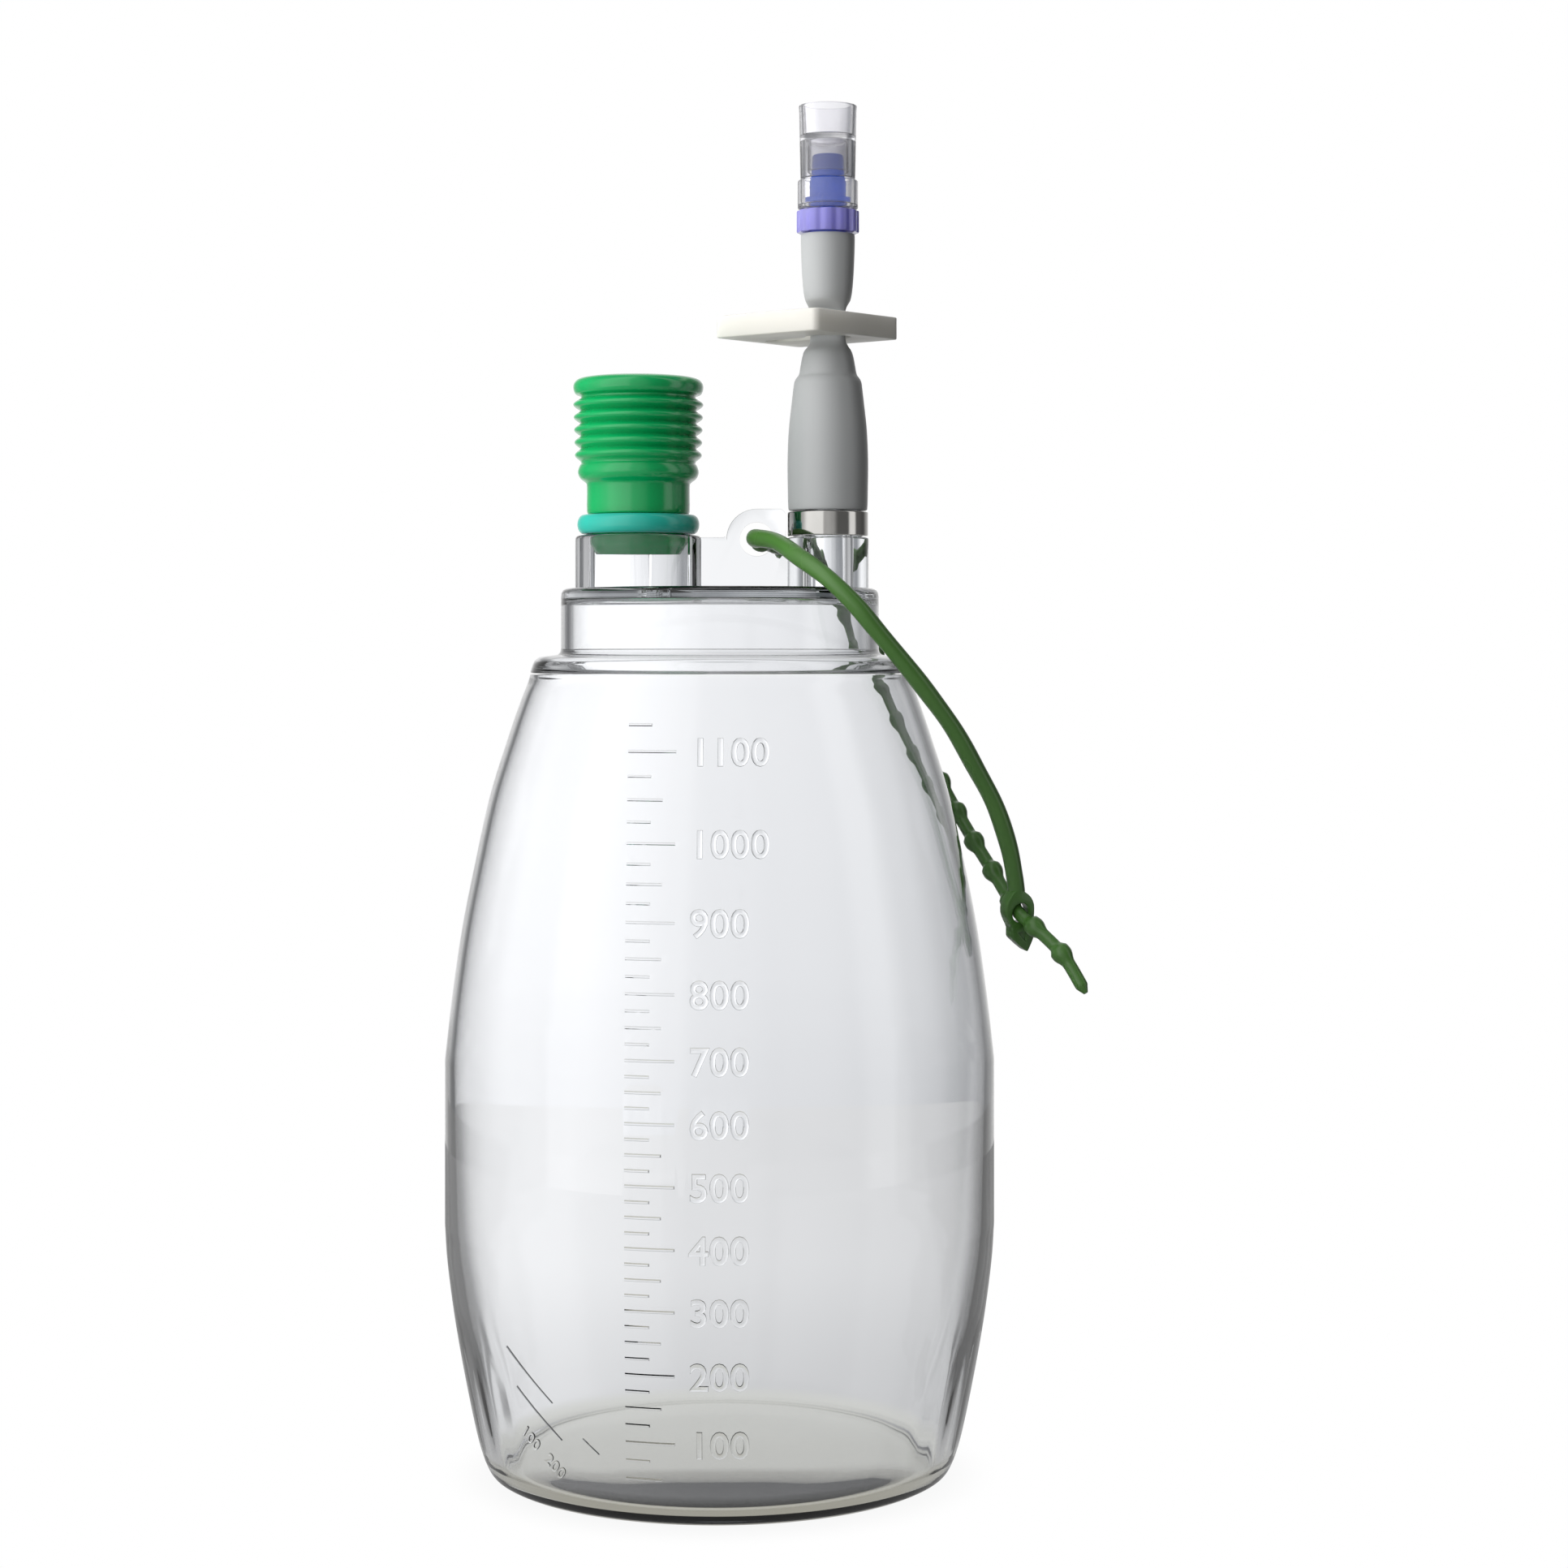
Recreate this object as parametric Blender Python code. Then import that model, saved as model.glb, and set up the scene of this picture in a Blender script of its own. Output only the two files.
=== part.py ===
"""High-vacuum drainage bottle: a clear graduated barrel with a bonded top that carries a green bellows
vacuum indicator, a grey rubber connector tube with its slide clamp and luer end, and a rubber hanging strap.
Sizes are in millimetres and are turned into metres when a mesh is made. +Z is up, the front faces -Y."""

import math

import bmesh
import bpy
import numpy as np
from mathutils import Matrix, Vector

MM = 0.001
GAP = 0.3          # between two pieces that are pressed or bonded together
SEGMENTS = 64      # round the barrel
FINE = 32          # round the small parts

# Barrel
BODY_R = 54.3      # widest radius
JOINT_Z = 157.5    # where the top is bonded on
WALL = 1.45
FLOOR = 2.0
# Outline of the barrel as (share of its height, share of its widest radius), foot first
OUTLINE = [(0, 0.775), (0.004, 0.817), (0.013, 0.845), (0.045, 0.878), (0.11, 0.919), (0.19, 0.961),
           (0.265, 0.99), (0.315, 1.0), (0.52, 1.0), (0.60, 0.973), (0.685, 0.937), (0.765, 0.891),
           (0.85, 0.836), (0.925, 0.768), (0.968, 0.725), (0.99, 0.70), (1, 0.692)]

# Graduation, raised on the front of the barrel
MARK_STEP = 25     # ml
MARK_FIRST, MARK_LAST = 50, 1125
MARK_BELOW_JOINT = 6.0
MARK_LEFT = -16.9
MARK_RIGHT = {"long": -7.1, "medium": -9.6, "short": -11.8}
MARK_THICK = 0.5
MARK_HIGH = 0.35
DIGIT_HIGH = 5.0
DIGIT_LEFT = -4.6

# Moulded top: shoulder, neck, platform and its two ports. Each height is carried by the one before it.
SHOULDER_Z = JOINT_Z + 4.0
NECK_R = 31.5
NECK_WALL = 2.0
PLATFORM_Z = SHOULDER_Z + 13.0
PLATFORM_THICK = 2.2
PORT_X = -16.2
PORT_R = 12.5
PORT_BORE = PORT_R - 2.7
PORT_Z = PLATFORM_Z + 10.5
NOZZLE_X = 21.4
NOZZLE_Z = PLATFORM_Z + 10.1
NOZZLE_BORE = 3.4
SPIGOT_R = 5.4
SPIGOT_Z = NOZZLE_Z + 20.4
BAND_SEAT_R = SPIGOT_R + 1.3
TUBE_R = SPIGOT_R + 2.6
NOZZLE_R = TUBE_R + 0.1
WEB_THICK = 2.4
LOBE_R = 6.0
LOBE_X, LOBE_Z = NOZZLE_X - NOZZLE_R - LOBE_R, PLATFORM_Z + 9.8
LOBE_HOLE = 3.4

# Bellows vacuum indicator, sized from the port it is pressed into
RING_R = PORT_R - 0.4
RING_TOP = PORT_Z + 4.1
NECK2_R = PORT_BORE - 0.5
STEP_R = NECK2_R + 0.8
STEP_Z = (RING_TOP + GAP, RING_TOP + 5.9)
BULGE_R = PORT_R - 0.5
FOLD_R = PORT_R + 0.4
VALLEY_R = FOLD_R - 1.2
FOLDS = 5
FOLD_PITCH = 2.5
BELLOWS_BORE = NECK2_R - 1.5
CROWN_THICK = 4.1

# Connector tube, clamp and luer end, all on the nozzle's axis
TUBE_Z = NOZZLE_Z + 5.4
TUBE_SHOULDER = 26.0   # above the tube's foot
WAIST = (TUBE_Z + 34.0, TUBE_Z + 39.2)
WAIST_LONG, WAIST_SHORT = 4.2, 2.0
WAIST_TURN = -40.0     # degrees: the pinch lies along the clamp's slot
TUBE_TOP = WAIST[1] + 15.6
CLAMP_SIDE = 26.2
CLAMP_Z = (WAIST[0] + 0.4, WAIST[1] - 0.4)
CLAMP_OFFSET = 5.35    # tube to plate centre, along the slot
SLOT_CLEAR = 0.3
SLOT_MARGIN = 3.0      # plate left beyond the slot's narrow end
HUB_R = 3.6
TUBE_TOP_R = HUB_R + 1.75
TIP_R = HUB_R - 0.4
LUER_BORE = 1.4
GRIP_R = HUB_R + 2.6
GRIP_Z = (TUBE_TOP + GAP, TUBE_TOP + 4.6)
FLUTES, FLUTE_DEEP = 12, 0.28
COLLAR_R = HUB_R + 2.4
COLLAR_TOP = GRIP_Z[1] + 6.1
TIP_Z = COLLAR_TOP + 5.1
CAP_R = TIP_R + 2.25
CAP_WEB_Z = COLLAR_TOP + 8.9
CAP_TOP = COLLAR_TOP + 14.8

# Hanging strap
STRAP_R = 1.75
TAIL_R = 1.2
EYE_LONG, EYE_WIDE, EYE_THICK = 12.6, 6.6, 2.6


def clear_scene():
    for obj in list(bpy.data.objects):
        bpy.data.objects.remove(obj, do_unlink=True)


def material(name, color, rough=0.4, clear=0.0, metal=0.0):
    mat = bpy.data.materials.new(name)
    mat.use_nodes = True
    shader = mat.node_tree.nodes["Principled BSDF"]
    shader.inputs["Base Color"].default_value = (*color, 1)
    shader.inputs["Roughness"].default_value = rough
    shader.inputs["Transmission Weight"].default_value = clear
    shader.inputs["Metallic"].default_value = metal
    mat.diffuse_color = (*color, 1)
    return mat


def node(name, mesh, mat=None):
    obj = bpy.data.objects.new(name, mesh)
    bpy.context.scene.collection.objects.link(obj)
    if mat:
        obj.data.materials.append(mat)
    return obj


def mesh_from(name, make):
    """A mesh drawn in millimetres by make(bm), scaled to metres, with its faces turned outwards."""
    bm = bmesh.new()
    make(bm)
    bmesh.ops.remove_doubles(bm, verts=bm.verts, dist=1e-4)
    bmesh.ops.recalc_face_normals(bm, faces=bm.faces)
    bmesh.ops.scale(bm, vec=(MM, MM, MM), verts=bm.verts)
    mesh = bpy.data.meshes.new(name)
    bm.to_mesh(mesh)
    bm.free()
    return mesh


def revolve(name, profile, mat=None, closed=False, x=0.0, steps=FINE):
    """Turns a profile of (radius, z) points about the vertical through x. It runs down the outer side."""
    mesh = bpy.data.meshes.new(name)
    points = [(r * MM, 0, z * MM) for r, z in profile]
    edges = [(i, i + 1) for i in range(len(points) - 1)]
    if closed:
        edges.append((len(points) - 1, 0))
    mesh.from_pydata(points, edges, [])
    obj = node(name, mesh, mat)
    obj.location.x = x * MM
    screw = obj.modifiers.new("Turn", "SCREW")
    screw.steps = screw.render_steps = steps
    screw.use_merge_vertices = True
    screw.merge_threshold = 1e-6
    screw.use_smooth_shade = True
    return obj


def cutter(obj):
    obj.hide_render = True
    obj.display_type = "WIRE"
    return obj


def rod(name, radius, length, centre, axis="Z", steps=FINE):
    turn = {"Z": Matrix(), "Y": Matrix.Rotation(math.pi / 2, 4, "X")}[axis]
    return node(name, mesh_from(name, lambda bm: bmesh.ops.create_cone(
        bm, cap_ends=True, segments=steps, radius1=radius, radius2=radius, depth=length,
        matrix=Matrix.Translation(centre) @ turn)))


def combine(obj, other, operation):
    step = obj.modifiers.new(operation.title(), "BOOLEAN")
    step.operation = operation
    step.solver = "EXACT"
    step.object = cutter(other)


def made_mesh(obj):
    """The object's shape with its modifiers, or its curve's thickness, as a mesh of its own."""
    bpy.context.view_layer.update()
    return bpy.data.meshes.new_from_object(obj.evaluated_get(bpy.context.evaluated_depsgraph_get()))


def settle(obj, angle=35):
    """Applies the modifiers and shades the piece smooth except at its edges."""
    mesh = made_mesh(obj)
    obj.modifiers.clear()
    obj.data = mesh
    mesh.shade_smooth()
    mesh.set_sharp_from_angle(angle=math.radians(angle))


def rounded(radius, z0, z1, inner, corner):
    """A ring's closed section with its two outer corners rounded, listed down the outer side."""
    arc = [math.radians(a) for a in (90, 60, 30, 0)]
    top = [(radius - corner + corner * math.cos(a), z1 - corner + corner * math.sin(a)) for a in arc]
    low = [(r, z0 + z1 - z) for r, z in reversed(top)]
    return top + low + [(inner, z0), (inner, z1)]


# --- barrel -------------------------------------------------------------------

def body_radius(z):
    heights = [h * JOINT_Z for h, _ in OUTLINE]
    return float(np.interp(z, heights, [r * BODY_R for _, r in OUTLINE]))


def height_of(volume):
    """The level that this many millilitres reach inside the barrel."""
    z = np.linspace(FLOOR, JOINT_Z, 1500)
    area = np.array([math.pi * (body_radius(h) - WALL) ** 2 for h in z])
    filled = np.concatenate([[0], np.cumsum((area[1:] + area[:-1]) / 2 * np.diff(z))]) / 1000
    return float(np.interp(volume, filled, z))


def on_barrel(u, z, out):
    """The point u mm round the front from the middle, at height z, standing out mm off the surface."""
    radius = body_radius(z)
    turn = u / radius
    return Vector(((radius + out) * math.sin(turn), -(radius + out) * math.cos(turn), z))


def mark_kind(volume):
    return "long" if volume % 100 == 0 else "medium" if volume % 50 == 0 else "short"


def draw_mark(bm, volume):
    """A raised bar whose square section is repeated at its left end, middle and right end."""
    left, right = MARK_LEFT, MARK_RIGHT[mark_kind(volume)]
    lift = Vector((0, 0, MARK_THICK / 2))
    sections = []
    for u in (left, (left + right) / 2, right):
        sunk, raised = (on_barrel(u, height_of(volume), out) for out in (-MARK_HIGH, MARK_HIGH))
        sections.append([bm.verts.new(p) for p in (sunk - lift, raised - lift, raised + lift, sunk + lift)])
    for one, two in zip(sections, sections[1:]):
        for i in range(4):
            bm.faces.new([one[i], one[i - 1], two[i - 1], two[i]])
    bm.faces.new(sections[0])
    bm.faces.new(sections[-1])


def numeral(volume):
    """The raised figures beside a long mark, bent round the barrel."""
    text = bpy.data.curves.new("figures", "FONT")
    text.body = str(volume)
    text.size = DIGIT_HIGH / 0.7
    text.extrude = MARK_HIGH
    text.resolution_u = 1
    obj = node("figures", text)
    mesh = made_mesh(obj)
    bpy.data.objects.remove(obj)
    foot = height_of(volume) - DIGIT_HIGH / 2
    for vertex in mesh.vertices:
        across, up, out = vertex.co
        vertex.co = on_barrel(DIGIT_LEFT + across, foot + up, out)
    return mesh


def make_barrel():
    outer = [(r * BODY_R, h * JOINT_Z) for h, r in OUTLINE]
    inner = [(0, FLOOR), (outer[0][0] - 1.0, FLOOR)]
    inner += [(r - WALL, z) for r, z in outer[3:]]
    profile = inner + outer[::-1] + [(0, 0)]
    clear = material("clear_barrel", (0.93, 0.95, 0.97), 0.05, 0.9)
    body = revolve("bottle_body", profile, clear, steps=SEGMENTS)

    def draw(bm):
        for volume in range(MARK_FIRST, MARK_LAST + 1, MARK_STEP):
            if height_of(volume) > JOINT_Z - MARK_BELOW_JOINT:
                break
            draw_mark(bm, volume)
            if mark_kind(volume) == "long":
                bm.from_mesh(numeral(volume))

    combine(body, node("marks", mesh_from("marks", draw)), "UNION")
    settle(body)


# --- moulded top ----------------------------------------------------------------

def make_top():
    foot = JOINT_Z + GAP
    rim = BODY_R * OUTLINE[-1][1]
    bore = NECK_R - NECK_WALL
    under = PLATFORM_Z - PLATFORM_THICK
    profile = [(0, PLATFORM_Z), (NECK_R - 1.6, PLATFORM_Z), (NECK_R - 0.5, PLATFORM_Z - 0.5),
               (NECK_R, PLATFORM_Z - 1.6), (NECK_R, SHOULDER_Z + 0.6), (NECK_R + 0.6, SHOULDER_Z),
               (rim - 3.6, SHOULDER_Z - 0.3), (rim - 1.4, SHOULDER_Z - 1.4), (rim - 0.3, foot + 1.0),
               (rim, foot), (rim - 3.4, foot), (rim - 4.2, foot + 1.6), (bore, foot + 2.6),
               (bore, under - 1.0), (bore - 1.0, under), (0, under)]
    clear = material("clear_top", (0.92, 0.94, 0.96), 0.05, 0.9)
    top = revolve("bottle_top", profile, clear, steps=SEGMENTS)

    sunk = PLATFORM_Z - PLATFORM_THICK / 2
    port = [(0, PORT_Z), (PORT_R - 0.8, PORT_Z), (PORT_R, PORT_Z - 0.8), (PORT_R, sunk), (0, sunk)]
    combine(top, revolve("port", port, x=PORT_X), "UNION")
    shank = SPIGOT_R - 0.4
    spigot = [(0, SPIGOT_Z), (SPIGOT_R - 0.8, SPIGOT_Z), (SPIGOT_R, SPIGOT_Z - 2.5), (shank, SPIGOT_Z - 2.6),
              (shank, TUBE_Z - GAP), (BAND_SEAT_R, TUBE_Z - GAP), (BAND_SEAT_R, NOZZLE_Z), (NOZZLE_R, NOZZLE_Z),
              (NOZZLE_R, sunk), (0, sunk)]
    combine(top, revolve("nozzle", spigot, x=NOZZLE_X), "UNION")

    # The flat web between the ports, with the rounded lobe that the strap hole goes through
    def web(bm):
        near = NOZZLE_X - NOZZLE_R + 0.8
        lobe = [(LOBE_X + LOBE_R * math.cos(a), LOBE_Z + LOBE_R * math.sin(a))
                for a in np.linspace(0.5, 1.0, 7) * math.pi]
        high = LOBE_Z + LOBE_R
        start = PORT_X + PORT_R - 0.8
        edge = NOZZLE_X - NOZZLE_R - GAP
        outline = [(near, sunk), (near, NOZZLE_Z - 0.4), (edge, NOZZLE_Z - 0.4), (edge, high - 1),
                   (edge - 1, high)] + lobe
        outline += [(lobe[-1][0] - 0.6, PORT_Z + 0.2), (lobe[-1][0] - 1.4, PORT_Z - 0.4),
                    (start, PORT_Z - 0.4), (start, sunk)]
        face = bm.faces.new([bm.verts.new((x, -WEB_THICK / 2, z)) for x, z in outline])
        side = bmesh.ops.extrude_face_region(bm, geom=[face])
        moved = [v for v in side["geom"] if isinstance(v, bmesh.types.BMVert)]
        bmesh.ops.translate(bm, verts=moved, vec=(0, WEB_THICK, 0))

    combine(top, node("web", mesh_from("web", web)), "UNION")
    combine(top, rod("port_bore", PORT_BORE, 40, (PORT_X, 0, PORT_Z - 20 + 5)), "DIFFERENCE")
    channel = rod("nozzle_bore", NOZZLE_BORE, 60, (NOZZLE_X, 0, SPIGOT_Z - 30 + 5), steps=24)
    combine(top, channel, "DIFFERENCE")
    strap_hole = rod("strap_hole", LOBE_HOLE, 12, (LOBE_X, 0, LOBE_Z), "Y", steps=24)
    combine(top, strap_hole, "DIFFERENCE")
    settle(top)

    band = rounded(NOZZLE_R - 0.1, NOZZLE_Z + GAP, TUBE_Z - GAP, BAND_SEAT_R + GAP, 0.2)
    bright = material("bright_band", (0.75, 0.76, 0.78), 0.15, 0, 1)
    settle(revolve("nozzle_band", band, bright, True, NOZZLE_X))


# --- bellows indicator -------------------------------------------------------------

def make_indicator():
    green = material("bellows_green", (0.0, 0.5, 0.17), 0.25)
    ring = rounded(RING_R, PORT_Z + GAP, RING_TOP, NECK2_R + GAP, 1.5)
    teal = material("ring_teal", (0.02, 0.5, 0.42), 0.25)
    settle(revolve("indicator_ring", ring, teal, True, PORT_X), 60)

    bore = BELLOWS_BORE
    plug = PORT_BORE - GAP
    low, high = STEP_Z
    root = [(bore, high), (STEP_R - 0.4, high), (STEP_R, high - 0.5), (STEP_R, low + 0.5),
            (STEP_R - 0.4, low), (NECK2_R, low), (NECK2_R, PORT_Z), (plug, PORT_Z - 0.4),
            (plug, PORT_Z - 2.2), (plug - 1.2, PORT_Z - 4.0), (bore, PORT_Z - 4.0)]
    settle(revolve("indicator_root", root, green, True, PORT_X))

    # One wide bulge at the foot, then the even folds
    foot = STEP_Z[1] + GAP
    outside = [(STEP_R - 0.4, foot), (BULGE_R - 0.5, foot + 1.0), (BULGE_R, foot + 2.3),
               (BULGE_R - 0.5, foot + 3.5)]
    start = foot + 4.4
    inside = [(bore + 1.0, foot), (BULGE_R - 1.3, foot + 1.6), (BULGE_R - 1.3, foot + 3.2)]
    for fold in range(FOLDS):
        low = start + fold * FOLD_PITCH
        crest = FOLD_R - 0.3 * (1 - fold / (FOLDS - 1))
        outside += [(VALLEY_R, low), (crest - 0.35, low + 0.28 * FOLD_PITCH),
                    (crest, low + 0.5 * FOLD_PITCH), (crest - 0.35, low + 0.72 * FOLD_PITCH)]
        inside += [(VALLEY_R - 1.0, low), (crest - 1.1, low + 0.5 * FOLD_PITCH)]
    head = start + FOLDS * FOLD_PITCH
    outside.append((VALLEY_R, head))
    inside.append((VALLEY_R - 1.0, head))
    settle(revolve("indicator_bellows", outside[::-1] + inside, green, True, PORT_X), 60)

    low, high = head + GAP, head + GAP + CROWN_THICK
    crown = [(0, high), (FOLD_R * 0.62, high - 0.15), (FOLD_R - 1.5, high - 0.5), (FOLD_R - 0.4, high - 1.2),
             (FOLD_R, high - 2.0), (FOLD_R - 0.4, high - 2.9), (FOLD_R - 1.2, low), (0, low)]
    settle(revolve("indicator_crown", crown, green, False, PORT_X), 60)


# --- connector tube and clamp ---------------------------------------------------------

def oval_ring(bm, z, long, short):
    turn = Matrix.Rotation(math.radians(WAIST_TURN), 3, "Z")
    angles = [2 * math.pi * i / FINE for i in range(FINE)]
    points = [turn @ Vector((long * math.cos(a), short * math.sin(a), 0)) for a in angles]
    return [bm.verts.new(p + Vector((0, 0, z))) for p in points]


def make_tube():
    low, high = WAIST
    shoulder = TUBE_Z + TUBE_SHOULDER
    outside = [(TUBE_Z, TUBE_R - 0.15), (TUBE_Z + 10, TUBE_R), (TUBE_Z + 16, TUBE_R - 0.25),
               (TUBE_Z + 20.7, TUBE_R - 0.75), (shoulder - 0.8, TUBE_R - 1.3), (shoulder, TUBE_R - 1.7),
               (shoulder + 1.0, TUBE_R - 2.3), (shoulder + 4.4, TUBE_R - 2.9), (low - 1.6, 4.5)]
    outside = [(z, r, r) for z, r in outside]
    outside += [(low, WAIST_LONG, WAIST_SHORT), (high, WAIST_LONG, WAIST_SHORT)]
    outside += [(z, r, r) for z, r in ((high + 2.2, TUBE_TOP_R - 0.9), (high + 4.2, TUBE_TOP_R - 0.5),
                                       (high + 9, TUBE_TOP_R - 0.15), (TUBE_TOP, TUBE_TOP_R))]
    bore = SPIGOT_R + GAP
    barb = HUB_R + GAP
    inside = [(TUBE_Z, bore, bore), (SPIGOT_Z + 1.0, bore, bore), (SPIGOT_Z + 3.0, 3.4, 3.4),
              (low - 2.0, 3.2, 3.2), (low, WAIST_LONG - 1.1, WAIST_SHORT - 1.1),
              (high, WAIST_LONG - 1.1, WAIST_SHORT - 1.1), (high + 2.6, 3.0, 3.0),
              (TUBE_TOP - 9.0, 3.2, 3.2), (TUBE_TOP - 8.0, barb, barb), (TUBE_TOP, barb, barb)]

    def draw(bm):
        rings = [oval_ring(bm, *step) for step in outside] + [oval_ring(bm, *step) for step in inside[::-1]]
        for one, two in zip(rings, rings[1:] + rings[:1]):
            for i in range(FINE):
                j = (i + 1) % FINE
                bm.faces.new([one[i], one[j], two[j], two[i]])

    grey = material("grey_rubber", (0.4, 0.42, 0.43), 0.5)
    tube = node("connector_tube", mesh_from("connector_tube", draw), grey)
    tube.location.x = NOZZLE_X * MM
    settle(tube, 40)


def make_clamp():
    low, high = CLAMP_Z
    wide = WAIST_LONG + SLOT_CLEAR
    narrow = WAIST_SHORT + SLOT_CLEAR
    along = Vector((math.cos(math.radians(WAIST_TURN)), math.sin(math.radians(WAIST_TURN)), 0))
    middle = -along * CLAMP_OFFSET
    turn = Matrix.Rotation(math.radians(WAIST_TURN), 4, "Z")

    def plate(bm):
        sides = Matrix.Diagonal((CLAMP_SIDE, CLAMP_SIDE, high - low, 1))
        bmesh.ops.create_cube(bm, size=1, matrix=sides)
        upright = [e for e in bm.edges if abs(e.verts[0].co.z - e.verts[1].co.z) > 1]
        bmesh.ops.bevel(bm, geom=upright, offset=1.6, segments=4, profile=0.5, affect="EDGES")
        level = [e for e in bm.edges if abs(e.verts[0].co.z - e.verts[1].co.z) < 0.01]
        bmesh.ops.bevel(bm, geom=level, offset=0.5, segments=2, profile=0.5, affect="EDGES")
        place = Matrix.Translation(middle + Vector((0, 0, (low + high) / 2)))
        bmesh.ops.transform(bm, verts=bm.verts, matrix=place @ turn)

    white = material("clamp_white", (0.85, 0.84, 0.8), 0.45)
    clamp = node("slide_clamp", mesh_from("slide_clamp", plate), white)
    # Keyhole: a round end that lets the tube open, and a narrow run that pinches it
    far = narrow + SLOT_MARGIN - CLAMP_SIDE / 2

    def keyhole(bm):
        join = math.pi - math.asin(narrow / wide)
        points = [(CLAMP_OFFSET + wide * math.cos(a), wide * math.sin(a))
                  for a in np.linspace(-join, join, 17)]
        points += [(far + narrow * math.cos(a), narrow * math.sin(a))
                   for a in np.linspace(0.5, 1.5, 7) * math.pi]
        face = bm.faces.new([bm.verts.new((x, y, low - 1)) for x, y in points])
        side = bmesh.ops.extrude_face_region(bm, geom=[face])
        moved = [v for v in side["geom"] if isinstance(v, bmesh.types.BMVert)]
        bmesh.ops.translate(bm, verts=moved, vec=(0, 0, high - low + 2))
        bmesh.ops.transform(bm, verts=bm.verts, matrix=Matrix.Translation(middle) @ turn)

    slot = node("slot", mesh_from("slot", keyhole))
    slot.location.x = NOZZLE_X * MM
    clamp.location.x = NOZZLE_X * MM
    combine(clamp, slot, "DIFFERENCE")
    settle(clamp, 30)


# --- luer end ---------------------------------------------------------------------------

def make_luer():
    low, high = GRIP_Z
    collar_foot = high + GAP
    keep = collar_foot + 1.0 + GAP
    # Tapered tip, flange that keeps the collar on, plain stem, and the barb inside the tube's end
    hub = [(LUER_BORE, TIP_Z), (TIP_R - 0.2, TIP_Z), (TIP_R, TIP_Z - 0.3), (TIP_R + 0.15, COLLAR_TOP),
           (HUB_R, COLLAR_TOP - 0.6), (HUB_R, keep + 0.9), (HUB_R + 0.9, keep + 0.9), (HUB_R + 0.9, keep),
           (HUB_R, keep), (HUB_R, low), (HUB_R - 0.1, TUBE_TOP - 3.4), (HUB_R, TUBE_TOP - 3.6),
           (HUB_R - 0.9, TUBE_TOP - 7.6), (LUER_BORE, TUBE_TOP - 7.6)]
    blue = material("luer_blue", (0.1, 0.16, 0.6), 0.15, 0.4)
    settle(revolve("luer_hub", hub, blue, True, NOZZLE_X))

    def grip(bm):
        middle = Matrix.Translation((0, 0, (low + high) / 2))
        bmesh.ops.create_cone(bm, cap_ends=True, segments=48, radius1=GRIP_R, radius2=GRIP_R,
                              depth=high - low, matrix=middle)
        for v in bm.verts:
            a = math.atan2(v.co.y, v.co.x)
            r = GRIP_R - FLUTE_DEEP * (0.5 - 0.5 * math.cos(FLUTES * a))
            v.co.x, v.co.y = r * math.cos(a), r * math.sin(a)

    violet = material("grip_violet", (0.35, 0.25, 0.8), 0.1, 0.8)
    ring = node("grip_ring", mesh_from("grip_ring", grip), violet)
    ring.location.x = NOZZLE_X * MM
    bore = rod("grip_bore", HUB_R + GAP, 20, (NOZZLE_X, 0, (low + high) / 2))
    combine(ring, bore, "DIFFERENCE")
    settle(ring)

    bore = HUB_R + 0.9 + GAP
    collar = rounded(COLLAR_R, collar_foot, COLLAR_TOP, bore, 0.4)[:-2]
    collar += [(HUB_R + GAP, collar_foot), (HUB_R + GAP, collar_foot + 1.0), (bore, collar_foot + 1.0),
               (bore, COLLAR_TOP)]
    clear = material("clear_collar", (0.85, 0.87, 0.95), 0.05, 0.9)
    settle(revolve("lock_collar", collar, clear, True, NOZZLE_X))

    # Cap: outer skirt, inner socket on the tip, and a cross wall that leaves a blind pocket on top
    foot = COLLAR_TOP + GAP
    inner = CAP_R - 1.0
    socket = TIP_R + 0.15 + GAP
    cap = [(0, CAP_WEB_Z), (inner, CAP_WEB_Z), (inner + 0.25, CAP_TOP), (CAP_R + 0.35, CAP_TOP),
           (CAP_R + 0.35, CAP_TOP - 0.6), (CAP_R + 0.2, CAP_TOP - 1.2), (CAP_R, foot), (inner + 0.1, foot),
           (inner, CAP_WEB_Z - 1.0), (socket + 0.5, CAP_WEB_Z - 1.0), (socket + 0.5, foot + 1.5),
           (socket, foot + 1.5), (socket, CAP_WEB_Z - 1.0), (0, CAP_WEB_Z - 1.0)]
    clear = material("clear_cap", (0.9, 0.9, 0.95), 0.08, 0.85)
    settle(revolve("luer_cap", cap, clear, False, NOZZLE_X))


# --- hanging strap ------------------------------------------------------------------------

def smooth_route(points, spacing):
    """Evenly spaced points on a smooth curve through the given ones."""
    way = [2 * points[0] - points[1]] + points + [2 * points[-1] - points[-2]]
    fine = []
    for a, b, c, d in zip(way, way[1:], way[2:], way[3:]):
        for i in range(24):
            t = i / 24
            fine.append(0.5 * (2 * b + (c - a) * t + (2 * a - 5 * b + 4 * c - d) * t ** 2
                               + (3 * b - a - 3 * c + d) * t ** 3))
    fine.append(way[-2])
    run = np.concatenate([[0], np.cumsum([(q - p).length for p, q in zip(fine, fine[1:])])])
    count = max(4, round(run[-1] / spacing))
    at = np.linspace(0, run[-1], count + 1)
    return [Vector(float(np.interp(s, run, [p[k] for p in fine])) for k in range(3)) for s in at]


def cord(name, points, radius, mat):
    curve = bpy.data.curves.new(name, "CURVE")
    curve.dimensions = "3D"
    curve.bevel_depth = radius * MM
    curve.bevel_resolution = 2
    curve.use_fill_caps = True
    line = curve.splines.new("POLY")
    line.points.add(len(points) - 1)
    for slot, p in zip(line.points, points):
        slot.co = (*(p * MM), 1)
    return node(name, curve, mat)


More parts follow.
